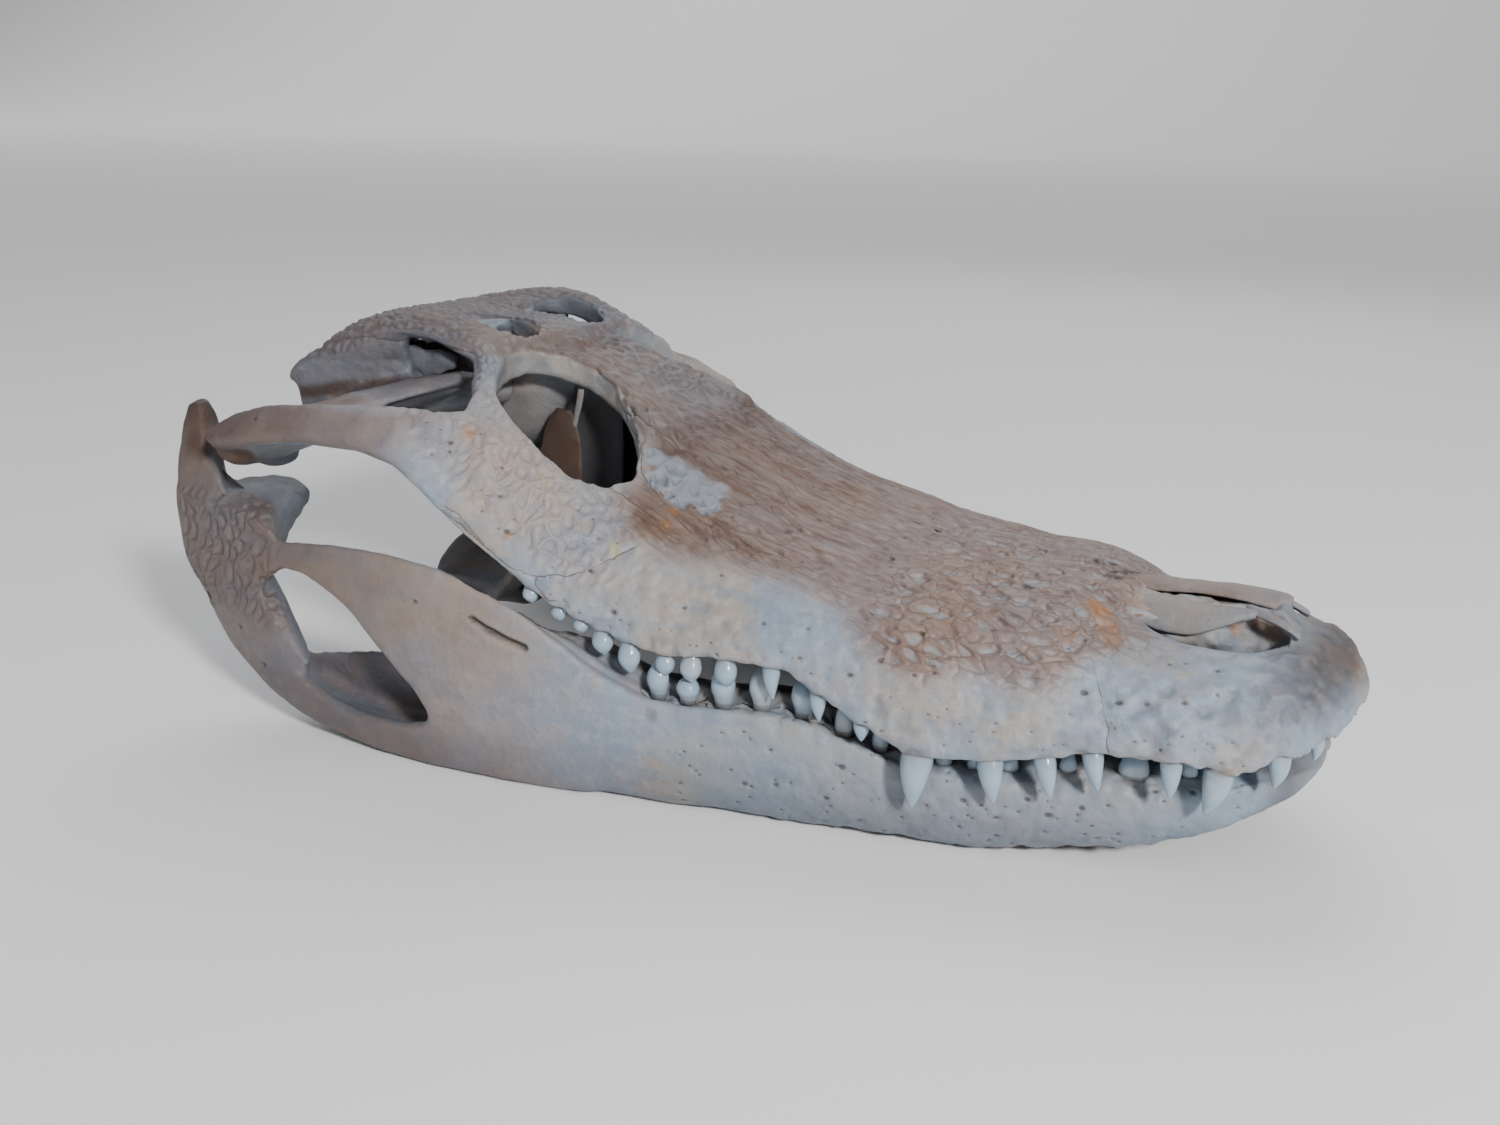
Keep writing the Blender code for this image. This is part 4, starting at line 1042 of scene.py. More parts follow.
def cranium_lumps(skin, area):
    """The lumps of the smooth bone, on the nose and on the flanks."""
    smooth = area.outside * (1 - area.top)
    nose = smooth * step_up(skin.x, 92, 122) * step_up(skin.x, 172, 160) * lumps(skin.points, 4.6, 53, 2)
    flank = smooth * step_up(skin.x, -60, -30) * lumps(skin.points, 3.2, 56, 2)
    return nose, flank


def cranium_marks(skin, area):
    """Distances to the nerve holes, to the cracks and to the seams of the snout's top."""
    along = area.outside * step_up(skin.x, -40, -30)
    margin = along * window(area.level, 0.14, 0.6, 0.08) * step_up(skin.up, 0.5, 0.2)
    low_margin = along * window(area.level, 0.04, 0.22, 0.04)
    holes = CRANIUM_HOLES + mirrored_marks(CRANIUM_HOLES)
    holes += scattered_spots(skin.points, margin, count=110, sizes=(0.18, 0.4), seed=5)
    holes += scattered_spots(skin.points, low_margin, count=110, sizes=(0.2, 0.55), seed=15)
    holes += scattered_spots(skin.points, area.top, count=70, sizes=(0.18, 0.36), seed=6)
    holes += scattered_spots(skin.points, area.cheek, count=50, sizes=(0.18, 0.4), seed=7)
    spot = hole_distance(skin.points, skin.normals, holes)
    crack = crack_distance(skin.points, skin.normals, CRANIUM_CRACKS)
    plan = skin.points * np.array([1.0, 1.0, 0.0])
    on_top = area.outside * skin.up > 0.3
    seam = np.where(on_top, crack_distance(plan, skin.normals, TOP_SEAMS), FAR_AWAY)
    return spot, crack, seam


def cranium_height(skin, area, relief, knobs, nose, flank, swell, marks):
    """The height of the sculpted surface over the fused one, in millimetres."""
    points, outside = skin.points, area.outside
    spot, crack, seam = marks
    uneven = 0.8 + 0.55 * lumps(points, 11, 2)
    height = KNOB_HEIGHT * area.table * (knobs - 0.8)
    for mask, pattern, depth in relief:
        height -= depth * mask * (step_up(pattern, 0.05, 0.85) - RIDGE_SHARE)
    height *= uneven
    height += outside * (0.35 * lumps(points, 11, 51, 2) + 0.09 * lumps(points, 2.6, 52, 1))
    height += 1.4 * nose + 0.6 * flank - 0.35 * step_up(skin.x, 110, 130) * outside
    height += 0.9 * area.otic * lumps(points, 4.5, 54, 2)
    height -= BAR_FALL * area.bar + SAG_DEPTH * area.sag * skin.up + RECESS_DEPTH * area.recess
    height += outside * (0.75 * swell - 0.2) * step_up(area.level, 0.4, 0.1) * step_up(skin.x, -46, -36)
    height -= 0.3 * step_up(np.abs(seam + 0.8 * lumps(points, 3, 55, 1)), 1.0, 0.1)
    height -= 0.7 * step_up(spot, 0.5, -0.3) + 0.35 * step_up(np.abs(crack), 1.1, 0.1)
    return height


print("heights of the cranium are ready")

# %% [markdown]
# ## Colours of the cranium
#
# The material can't know where the eye sockets are, so the sculptor paints values on the surface: cool
# and tan bone, older bone, stains, and painted shade on the tops, at the back, in hollows and in the mouth.

# %% Painted values of the cranium
def cranium_tones(skin, area):
    """The tan, browning and brown stains of the bone, with painted shade on the tops, the back and the
    recesses.
    """
    x, outside = skin.x, area.outside
    warm_and_shaded = area.top + 0.6 * area.forehead + 0.35 * area.cheek + 0.4 * step_up(x, -60, -100) * outside
    warm_and_shaded = np.clip(np.clip(warm_and_shaded, 0, 1) + 0.7 * area.jugal_bar, 0, 1)

    # Older bone at the back, and painted shade on the up-facing tops, the recess and the jugal bar.
    roof = step_up(x, -62, -92) * step_up(skin.side, 66, 54) * (1 - 0.75 * area.sag)
    roof *= 0.2 + 0.8 * np.maximum(step_up(skin.up, 0.1, 0.5), step_up(skin.z, 111, 115))
    age_and_shade = np.clip(0.85 * roof + 0.65 * step_up(x, -50, -150) + 0.8 * area.forehead + 0.3 * area.top, 0, 1)
    age_and_shade = np.maximum(age_and_shade, 0.95 * step_up(x, 140, 162) * step_up(area.level, 0.1, 0.6))
    age_and_shade = np.clip(age_and_shade + 0.4 * step_up(x, 40, -20) * area.top + area.recess, 0, 1)
    age_and_shade = np.clip(age_and_shade + 0.35 * area.jugal_bar, 0, 1) * (1 - 0.6 * area.sag) * (1 - 0.8 * area.lacrimal)

    streaks = BROWN_STREAKS + mirrored_lines(BROWN_STREAKS)
    streak = step_up(np.abs(crack_distance(skin.points, skin.normals, streaks)), 3.4, 0.8)
    brown = np.maximum(blots(skin.points, BROWN_STAINS + mirrored_marks(BROWN_STAINS)), streak)
    brown = np.maximum(brown, 0.6 * step_up(x, 152, 166) * step_up(area.level, 0.2, 0.7))
    return warm_and_shaded, age_and_shade, brown


def cranium_paint(skin, area, relief, knobs, nose, flank, rim, marks):
    """The painted values of the cranium, by name."""
    points = skin.points
    total = sum(mask for mask, _, _ in relief)
    value = sum(mask * value for mask, value, _ in relief) / np.maximum(total, 0.01)
    covered = np.clip(total, 0, 1)
    warm_and_shaded, age_and_shade, brown = cranium_tones(skin, area)
    # Painted shade in the nostrils, on the eye socket's pillar, in the recess, the mouth and the cave.
    rim_height = naris_rim(skin.x)
    deep_shade = area.nares * step_up(skin.z, rim_height - 0.5, rim_height - 3.0)
    deep_shade *= 0.4 + 0.6 * step_up(skin.x, 142, 126)
    deep_shade = deep_shade + 0.25 * area.pillar + 0.35 * area.recess + 0.9 * area.mouth + 0.4 * area.cave
    return {
        "net": 1 + covered * (value - 1), "relief": covered, "warm_and_shaded": warm_and_shaded, "front": area.front * area.top,
        "spot": marks[0], "crack": marks[1], "beads": area.table * knobs + 1 - area.table,
        # Inward faces, the recess and the cave: a darker blue-grey, painted shade.
        "inner": np.clip(1 - area.outside + area.recess + area.cave, 0, 1),
        "orange": blots(points, ORANGE_STAINS), "yellow": blots(points, YELLOW_STAINS),
        "black": blots(points, BLACK_STAINS), "gum": rim, "age_and_shade": age_and_shade, "pale": area.lacrimal,
        "brown": brown, "deep_shade": np.clip(deep_shade, 0, 1),
        "flow": np.clip(area.top * (1 - area.front), 0, 1) * (1 - area.lacrimal),
        # Painted shade in the low places of the nose and flank lumps.
        "fall": snout_fall(skin.x) * MM, "dip_shade": step_up(-nose - 0.7 * flank, 0.02, 0.5),
    }


def sculpt_cranium(points, normals):
    """Heights in millimetres and the painted values of the cranium's bone."""
    skin = Surface(points, normals)
    area = cranium_areas(skin)
    relief = cranium_relief(skin, area)
    knobs = on_part(roof_knobs, area.table, points)
    nose, flank = cranium_lumps(skin, area)
    swell, rim = gum_shapes(points, upper_rows.values())
    marks = cranium_marks(skin, area)
    height = cranium_height(skin, area, relief, knobs, nose, flank, swell, marks)
    return height, cranium_paint(skin, area, relief, knobs, nose, flank, rim, marks)


print("painted values of the cranium are ready")

# %% [markdown]
# ## The lower jaw
#
# Each half has rough ridges only at its rear. The rest is smooth, with nerve holes along the chin, a
# slit on its side and a shallow trough along the teeth. Its underside is painted darker, as shade, and so
# are the slit, the trough and the inside of the mouth.

# %% Sculpt a half of the lower jaw
REAR_DEPTH = 1.4
SLIT_DEPTH = 1.8


def jaw_areas(skin, sign):
    """The masks of one half of the lower jaw."""
    x, z, side = skin.x, skin.z, skin.side
    area = SimpleNamespace()
    area.outside = step_up(skin.normals[:, 1] * sign, -0.1, 0.35) * step_up(side, 20, 30)
    area.rear = area.outside * step_up(x, -122, -134) * step_up(x, -172, -164)
    area.rear *= step_up(z + 4 * lumps(skin.points, 9, 64), 30, 42) * step_up(z, 77, 68)
    area.wing = (1 - area.outside) * step_up(x, -120, -126) * window(z, 58, 76, 2) * step_up(side, 78, 74)
    area.front = area.outside * step_up(x, -10, 20)
    area.mouth = (1 - area.outside) * window(x, -60, 160, 6)
    inset = jaw_outer(x) - side
    area.trough = window(inset, 2.2, 8.6, 1.1) * step_up(skin.up, 0.1, 0.5) * step_up(x, 166, 160)
    return area


def jaw_paint(skin, area, pits, dent, rim, spot, crack, stains, dip_shade):
    """The painted values of one half of the lower jaw, by name."""
    x, z, points = skin.x, skin.z, skin.points
    nothing = 0 * x
    # Painted shade in the slit, along the front of the trough and inside the mouth.
    slot = step_up(np.abs(crack + 0.5 * lumps(points, 3, 68, 1)), 1.3, 0.5)
    age_and_shade = 0.8 * step_up(x, -40, -120) + 0.4 * area.rear + 0.4 * step_up(x, -140, -160) * step_up(z, 60, 84)
    shade = np.maximum(0.2 * area.trough * step_up(x, 60, 40), 0.8 * area.mouth)
    retro = RETRO_STAINS + mirrored_marks(RETRO_STAINS)
    return {
        "net": 1 + area.rear * (pits - 1), "relief": area.rear,
        "warm_and_shaded": 0.6 * step_up(x, 0, -60) * area.outside, "spot": spot, "crack": crack,
        # The inner face gets a darker blue-grey: painted shade.
        "beads": 1 + nothing, "inner": 1 - area.outside, "orange": blots(points, stains), "gum": rim,
        # Darker towards the underside: painted shade, on top of the older, browner rear.
        "age_and_shade": np.clip(age_and_shade + 0.65 * step_up(z, 26, 3), 0, 1), "dip_shade": dip_shade,
        "pale": area.front * (0.55 + 0.45 * step_up(z, 32, 12)),
        "brown": np.maximum(0.5 * dent, blots(points, retro)), "deep_shade": np.maximum(0.9 * slot, shade),
        "front": nothing, "yellow": nothing, "black": nothing, "flow": nothing, "fall": nothing,
    }


def sculpt_jaw(points, normals):
    """Heights in millimetres and the painted values of one half of the lower jaw."""
    skin = Surface(points, normals)
    x, z = skin.x, skin.z
    sign = np.sign(skin.y.mean())
    area = jaw_areas(skin, sign)
    holes, dents, stains = [marks if sign < 0 else mirrored_marks(marks)
                            for marks in (JAW_HOLES, JAW_DENTS, JAW_STAINS)]
    pits = on_part(rear_pits, area.rear, points)
    uneven = 0.8 + 0.5 * lumps(points, 10, 67)
    height = -REAR_DEPTH * area.rear * (step_up(pits, 0.05, 0.8) - 0.25) * uneven
    broad_lumps = lumps(points * np.array([0.6, 1, 1]), 10, 62, 2)
    chin_lumps = area.outside * step_up(x, 0, 50) * lumps(points, 4.0, 70, 2)
    height += 0.6 * broad_lumps + 0.07 * lumps(points, 2.4, 63, 1) + 0.8 * chin_lumps
    height += 0.6 * area.wing * lumps(points, 5.0, 69, 2)
    swell, rim = gum_shapes(points, [lower_rows[sign]])
    height += area.outside * (0.5 * swell - 0.15) * step_up(x, -16, -4)
    height -= trough_depth(x) * area.trough * step_up(z, jaw_top(x) - 6, jaw_top(x) - 4)
    low = area.front * step_up(z, 22, 14)
    holes = holes + scattered_spots(points, area.front, count=75, sizes=(0.2, 0.45), seed=8 + int(sign))
    holes += scattered_spots(points, low, count=45, sizes=(0.25, 0.6), seed=18 + int(sign))
    spot = hole_distance(points, normals, holes)
    crack = crack_distance(points, normals, [JAW_SLIT] if sign < 0 else mirrored_lines([JAW_SLIT]))
    height -= 0.8 * step_up(spot, 0.55, -0.3) + SLIT_DEPTH * step_up(np.abs(crack), 1.7, 0.2)
    dent = blots(points, dents)
    height -= 0.6 * dent
    # Painted shade in the low places of the chin and broad lumps.
    dip_shade = step_up(-0.8 * chin_lumps - 0.3 * broad_lumps * area.outside, 0.02, 0.45)
    return height, jaw_paint(skin, area, pits, dent, rim, spot, crack, stains, dip_shade)


print("sculpting steps are ready")

# %% [markdown]
# ## Parting the bones
#
# After sculpting, every face goes to the bone whose solid lies nearest, so the pieces meet at the
# sutures. Each piece keeps the normals of the whole surface, so that its shading runs on across a cut.
# The open ends get a short wall inwards and a lid, which close each bone.


# %% Part a surface into its bones
RIM_DEPTH = 0.6


def nearest_bones(points, nodes):
    """For each point, the number of the bone whose solid is nearest."""
    corners, faces, owners = [], [], []
    for number, node in enumerate(nodes):
        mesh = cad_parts[node].data
        start = len(corners)
        corners += [v.co.copy() for v in mesh.vertices]
        faces += [[start + v for v in face.vertices] for face in mesh.polygons]
        owners += [number] * len(mesh.polygons)
    tree = BVHTree.FromPolygons(corners, faces)
    return np.array([owners[tree.find_nearest(Vector(p * MM))[2]] for p in points])


def quads_of(mesh):
    """The four corners of each face. Every face is a quad after the subdivision."""
    corners = np.zeros(4 * len(mesh.polygons), np.int32)
    mesh.polygons.foreach_get("vertices", corners)
    return corners.reshape(-1, 4)


def vertex_normals(mesh):
    normals = np.zeros(3 * len(mesh.vertices))
    mesh.vertex_normals.foreach_get("vector", normals)
    return normals.reshape(-1, 3)


def open_rings(quads, count):
    """The rings of corners along the open edges, each in the order of its faces."""
    ahead = np.stack([quads, np.roll(quads, -1, axis=1)], axis=2).reshape(-1, 2).astype(np.int64)
    keys = ahead[:, 0] * count + ahead[:, 1]
    back = ahead[:, 1] * count + ahead[:, 0]
    following = {}
    for start, end in ahead[~np.isin(keys, back)]:
        following.setdefault(int(start), []).append(int(end))
    rings = []
    while following:
        start = next(iter(following))
        ring = [start]
        while True:
            ends = following[ring[-1]]
            end = ends.pop()
            if not ends:
                del following[ring[-1]]
            if end == start:
                break
            ring.append(end)
        rings.append(ring)
    return rings


def zipped(ring, places):
    """Triangles that close a ring, cutting its tightest corner first, as a zip closes."""
    count = len(ring)
    before = [(i - 1) % count for i in range(count)]
    after = [(i + 1) % count for i in range(count)]
    alive = [True] * count

    def corner(i):
        return (float(np.linalg.norm(places[before[i]] - places[after[i]])), i, before[i], after[i])

    waiting = [corner(i) for i in range(count)]
    heapq.heapify(waiting)
    faces = []
    left = count
    while left > 2 and waiting:
        _, i, last, following = heapq.heappop(waiting)
        if not alive[i] or before[i] != last or after[i] != following:
            continue
        faces.append((ring[last], ring[i], ring[following]))
        alive[i] = False
        after[last], before[following] = following, last
        left -= 1
        if left > 2:
            heapq.heappush(waiting, corner(last))
            heapq.heappush(waiting, corner(following))
    return faces


def bone_piece(name, points, normals, quads, paint):
    """A closed mesh object from some of the quads of a surface, with its cut ends walled up."""
    used, corners = np.unique(quads, return_inverse=True)
    places, turned = points[used], normals[used]
    faces = corners.reshape(-1, 4)
    skin = len(faces)
    walls = []
    source = list(range(len(used)))
    for ring in open_rings(faces, len(used)):
        first = len(source)
        inner = [first + i for i in range(len(ring))]
        source += ring
        for i, a in enumerate(ring):
            k = (i + 1) % len(ring)
            walls.append((ring[k], a, inner[i], inner[k]))
        sunk = places[ring] - turned[ring] * RIM_DEPTH
        places = np.vstack([places, sunk])
        walls += zipped(inner[::-1], sunk[::-1])
    mesh = bpy.data.meshes.new(name)
    mesh.from_pydata(places * MM, [], [tuple(face) for face in faces.tolist()] + walls)
    for key, values in paint.items():
        picked = values[used][source]
        mesh.attributes.new(key, "FLOAT", "POINT").data.foreach_set("value", picked)
    mesh.shade_smooth()
    wanted = np.zeros((len(mesh.loops), 3))
    loop_corners = np.zeros(len(mesh.loops), np.int32)
    mesh.loops.foreach_get("vertex_index", loop_corners)
    wanted[:4 * skin] = turned[loop_corners[:4 * skin]]
    mesh.normals_split_custom_set(wanted.tolist())
    return new_object(name, mesh)


def dress_bones(name, nodes, rows, sculpt, knobs=()):
    """Fuse, sculpt and part one group of bones, and attach the pieces. knobs are spots to smooth hard."""
    whole = fused(name, nodes, knobs)
    points = mesh_points(whole.data)
    for row in rows:
        points = sink_stubs(points, row)
    move_points(whole.data, points)
    normals = vertex_normals(whole.data)
    height, paint = sculpt(points, normals)
    points = points + normals * (height - GROWTH)[:, None]
    points = np.clip(points, CAD_LOW, CAD_HIGH)
    move_points(whole.data, points)
    normals = vertex_normals(whole.data)
    quads = quads_of(whole.data)
    owners = nearest_bones(points[quads].mean(axis=1), nodes)
    pieces = []
    for number, node in enumerate(nodes):
        piece = bone_piece(node + "_bone", points, normals, quads[owners == number], paint)
        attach(piece, "root")
        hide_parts(node)
        pieces.append(piece)
        print(piece.name, "faces", len(piece.data.polygons))
    bpy.data.objects.remove(whole)
    return pieces


bones = dress_bones("cranium", CRANIUM, upper_rows.values(), sculpt_cranium,
                    KNOBS + mirrored_marks(KNOBS))
for word, side in (("right", -1), ("left", 1)):
    nodes = [bone + "_" + word for bone in JAW_BONES]
    bones += dress_bones("jaw_" + word, nodes, [lower_rows[side]], sculpt_jaw)

# %% [markdown]
# ## Thin plates in the nose and the eye sockets
#
# Some bones of the skull are only as thick as a card: the plates that curl over the nostrils, the walls
# inside the eye sockets and behind the ear openings, and a few struts. A voxel remesh eats anything that
# thin. So each is a grid laid on a few measured rows, thickened with Solidify and smoothed with
# Subdivision Surface. The values that the bone material reads are those of plain bone, but for a few.

# %% Lay the thin plates
PLAIN_BONE = {
    "net": 1, "relief": 0, "warm_and_shaded": 0.3, "front": 0, "spot": FAR_AWAY, "crack": FAR_AWAY, "beads": 1,
    "inner": 0, "orange": 0, "yellow": 0, "black": 0, "gum": FAR_AWAY, "age_and_shade": 0.3, "pale": 0, "brown": 0,
    "deep_shade": 0, "flow": 0, "fall": 0, "dip_shade": 0,
}
POINTS_ACROSS = 5
PLATE_LEVELS = 2
# Each plate: its thickness and lumps, the way it bows, its paint, and its rows from one edge to the other
PLATES = {
    "nasal_rod": (1.7, 0.1, (0, -0.2, 0.1), {"age_and_shade": 0.45}, [
        ((139.5, -5.0, 67.6), (139.5, -6.6, 65.8)), ((143, -6.4, 67.4), (143, -8.0, 65.6)),
        ((147.3, -8.0, 66.8), (147.3, -9.6, 65.2)), ((151, -8.6, 65.4), (151, -10.2, 63.8)),
        ((154.5, -8.8, 63.4), (154.5, -10.4, 61.8)),
    ]),
    # The plates inside the eye socket and behind the ear are painted darker, as shade.
    "socket_plate": (1.2, 0.5, (0.5, -1.0, 0), {"brown": 1.0, "age_and_shade": 1.0, "orange": 0.3, "deep_shade": 0.3}, [
        ((-73, -14, 98), (-66, -15, 97.5)), ((-77, -14.5, 90), (-62.5, -15, 89)),
        ((-79, -15, 84), (-62, -15.5, 82)), ((-79, -15, 74), (-62, -16, 73)),
        ((-78, -15, 63), (-62, -16, 62.5)),
    ]),
    "socket_wall": (1.2, 0.5, (0.5, -2.0, 0),
                    {"age_and_shade": 1.0, "inner": 1.0, "pale": 0.6, "deep_shade": 0.3, "warm_and_shaded": 0}, [
        ((-80, -4, 106), (-53, -5, 105)), ((-80, -4, 98), (-53, -5, 97)),
        ((-80, -4, 88), (-53, -5, 87)), ((-80, -4, 78), (-53, -5, 76)),
        ((-80, -4, 64), (-54, -5, 63.5)),
    ]),
    "socket_strut": (1.0, 0.2, (0, -0.3, 0), {"age_and_shade": 0.4}, [
        ((-63, -16, 105), (-60.5, -16, 105)), ((-64, -15.5, 99), (-61.8, -15.5, 99)),
        ((-66, -15, 93), (-64.2, -15, 93)), ((-67, -14.5, 88), (-65.6, -14.5, 88)),
    ]),
    "ear_wall": (1.4, 1.6, (0, -0.8, 0), {"age_and_shade": 0.9, "inner": 1.0, "warm_and_shaded": 0, "deep_shade": 0.15}, [
        ((-127, -40, 112), (-125, -40, 103.5)), ((-120, -40, 115), (-119, -40, 104)),
        ((-112, -39, 116.5), (-111, -39.5, 105)), ((-104, -38, 117), (-104, -38.5, 106.5)),
        ((-97, -37, 116), (-97, -37.5, 109.5)), ((-93.5, -36.5, 114), (-93.5, -37, 111.5)),
    ]),
}
NASAL_RIGHT = (1.2, 0.35, (0, -1.3, 1.4), {"age_and_shade": 0.35, "inner": 0.5, "warm_and_shaded": 0.15}, [
    ((107, -2.5, 64.0), (107, -7, 62)), ((111, -2.6, 65.0), (111, -11, 60.6)),
    ((116, -3.0, 65.8), (116, -13.4, 59.6)), ((121, -3.4, 66.2), (121, -14, 59.1)),
    ((127, -4.0, 66.0), (127, -14, 59.1)), ((131.5, -4.2, 65.8), (131.5, -13.2, 60.6)),
    ((136, -4.4, 65.9), (136, -11.3, 63.0)), ((140, -4.8, 66.2), (140, -9.4, 64.4)),
    ((143, -5.4, 66.2), (143, -7.6, 65.4)),
])
NASAL_LEFT = (1.4, 0.3, (0, -0.5, 5.2), {"age_and_shade": 0.4, "warm_and_shaded": 0.7}, [
    ((107, -0.6, 64.0), (107, -7, 61)), ((111, -0.7, 64.6), (111, -11, 60)),
    ((116, -0.8, 65.4), (116, -13.4, 59.4)), ((121, -0.9, 66.0), (121, -14, 59.2)),
    ((127, -1.0, 66.6), (127, -14, 59.4)), ((133, -1.1, 66.8), (133, -14, 60.0)),
    ((139, -1.2, 66.3), (139, -13.5, 61.2)), ((144, -1.6, 65.6), (144, -12.5, 62.0)),
    ((148, -2.8, 64.6), (148, -10.5, 62.4)), ((150, -4.5, 63.4), (150, -8, 62.4)),
])


def laid_plate(name, plate, side):
    """One thin plate as a closed piece, for the right side as measured or mirrored to the left."""
    thickness, lumpy, bow, paint, rows = plate
    bpy.ops.object.select_all(action="DESELECT")
    bpy.ops.mesh.primitive_grid_add(x_subdivisions=POINTS_ACROSS - 1, y_subdivisions=len(rows) - 1)
    item = bpy.context.object
    item.name = name
    share = np.linspace(0, 1, POINTS_ACROSS)[:, None]
    bowed = np.sin(np.pi * share) * bow
    places = [np.array(start) + share * (np.array(end) - start) + bowed for start, end in rows]
    places = np.concatenate(places) * (1, -side, 1)
    move_points(item.data, places)
    thick = item.modifiers.new("thick", "SOLIDIFY")
    thick.thickness = thickness * MM
    thick.offset = 0.0
    smooth = item.modifiers.new("smooth", "SUBSURF")
    smooth.levels = smooth.render_levels = PLATE_LEVELS
    bpy.ops.object.modifier_apply(modifier="thick")
    bpy.ops.object.modifier_apply(modifier="smooth")
    bpy.ops.object.shade_smooth()
    points = mesh_points(item.data)
    points += vertex_normals(item.data) * (lumpy * lumps(points, 4.5, 95, 2))[:, None]
    move_points(item.data, points)
    for key, value in (PLAIN_BONE | paint).items():
        values = np.full(len(item.data.vertices), float(value))
        item.data.attributes.new(key, "FLOAT", "POINT").data.foreach_set("value", values)
    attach(item, "root")
    return item


plates = [laid_plate("nasal_plate_right", NASAL_RIGHT, -1), laid_plate("nasal_plate_left", NASAL_LEFT, 1)]
for word, side in (("right", -1), ("left", 1)):
    plates += [laid_plate(name + "_" + word, plate, side) for name, plate in PLATES.items()]
print("plates", [plate.name for plate in plates])

# %% [markdown]
# ## Teeth
#
# The crowns are slender pegs in front and blunt, necked bulbs at the back. A spin would make them too,
# but a circle that is extruded and resized ring by ring shows every radius in one short table. Copies of
# the two crowns are stretched, bowed and set in the jaw. All crowns of one bone become one piece.

# %% Model one crown of each kind
CROWN_SIDES = 24
# Rings of a crown: height above the gum as a share of its length, and radius as a share of its width
FANG = [
    (-0.22, 0.44), (0.0, 0.48), (0.08, 0.5), (0.2, 0.485), (0.34, 0.44), (0.48, 0.385), (0.62, 0.315),
    (0.74, 0.24), (0.84, 0.17), (0.92, 0.105), (0.97, 0.06), (0.995, 0.025),
]
BULB = [
    (-0.22, 0.34), (0.0, 0.36), (0.1, 0.385), (0.22, 0.44), (0.36, 0.495), (0.5, 0.5), (0.63, 0.46),
    (0.75, 0.375), (0.85, 0.27), (0.93, 0.16), (0.975, 0.08), (0.998, 0.03),
]


def crown(name, rings):
    """A crown of length 1 and width 1, standing on the origin."""
    bpy.ops.object.select_all(action="DESELECT")
    foot, radius = rings[0]
    bpy.ops.mesh.primitive_circle_add(vertices=CROWN_SIDES, radius=radius, location=(0, 0, foot))
    item = bpy.context.object
    item.name = name
    bpy.ops.object.transform_apply(location=True, rotation=True, scale=True)
    bpy.ops.object.mode_set(mode="EDIT")
    bpy.ops.mesh.select_all(action="SELECT")
    for (low, wide), (high, narrow) in zip(rings, rings[1:]):
        bpy.ops.mesh.extrude_edges_move(TRANSFORM_OT_translate={"value": (0, 0, high - low)})
        share = narrow / wide
        bpy.ops.transform.resize(value=(share, share, 1), center_override=(0, 0, high))
    bpy.ops.mesh.edge_face_add()
    bpy.ops.mesh.poke()
    bpy.ops.mesh.select_all(action="DESELECT")
    bpy.ops.mesh.select_non_manifold()
    bpy.ops.mesh.edge_face_add()
    bpy.ops.mesh.select_all(action="SELECT")
    bpy.ops.mesh.normals_make_consistent(inside=False)
    bpy.ops.object.mode_set(mode="OBJECT")
    print(name, "faces", len(item.data.polygons))
    return item


fang = crown("fang", FANG)
bulb = crown("bulb", BULB)

# %% Set the crowns in their rows
CROWN_BOW = 0.1
CROWN_FLATNESS = 0.9
RIBS = 9
RIB_DEPTH = 0.012
BULB_SPREAD = 1.26
BLUNT_BEHIND = {"upper": 22.0, "lower": 45.0}


def placed_crown(model, tooth, draw):
    """The points of one crown, stretched, ribbed, bowed outward and set on its gum, and their heights."""
    shape = mesh_points(model.data) * MM
    axis = tooth.tip - tooth.base
    length = np.linalg.norm(axis)
    axis = axis / length
    outward = tooth.outward - axis * tooth.outward.dot(axis)
    outward = outward / np.linalg.norm(outward)
    along = np.cross(axis, outward)
    share = shape[:, 2]
    width = tooth.width * (BULB_SPREAD if model.name.startswith("bulb") else 1.0)
    angle = np.arctan2(shape[:, 1], shape[:, 0])
    rib = 1 + RIB_DEPTH * np.sin(RIBS * angle + draw.uniform(0, 6)) * np.clip(1 - share, 0, 1)
    bow = CROWN_BOW * length * np.sin(np.pi * np.clip(share, 0, 1))
    points = tooth.base + np.outer(share * length, axis)
    points += np.outer(shape[:, 0] * rib * width * CROWN_FLATNESS + bow, outward)
    points += np.outer(shape[:, 1] * rib * width, along)
    return points, share


def tooth_piece(name, node, row, models, seed):
    """All crowns of one bone as one piece, with their heights and a random shade painted on."""
    draw = np.random.default_rng(seed)
    corners, faces, shares, roots = [], [], [], []
    for tooth, model in zip(row, models):
        points, share = placed_crown(model, tooth, draw)
        start = len(corners)
        corners += [tuple(p * MM) for p in points]
        faces += [[start + v for v in face.vertices] for face in model.data.polygons]
        shares += list(share)
        roots += [draw.uniform(0, 1)] * len(share)
    mesh = bpy.data.meshes.new(name)
    mesh.from_pydata(corners, [], faces)
    mesh.attributes.new("crown", "FLOAT", "POINT").data.foreach_set("value", shares)
    mesh.attributes.new("shade", "FLOAT", "POINT").data.foreach_set("value", roots)
    item = new_object(name, mesh)
    select_only(item)
    bpy.ops.object.mode_set(mode="EDIT")
    bpy.ops.mesh.select_all(action="SELECT")
    bpy.ops.mesh.normals_make_consistent(inside=False)
    bpy.ops.object.mode_set(mode="OBJECT")
    bpy.ops.object.shade_smooth()
    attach(item, "root")
    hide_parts(node)
    print(item.name, "crowns", len(row), "faces", len(faces))
    return item


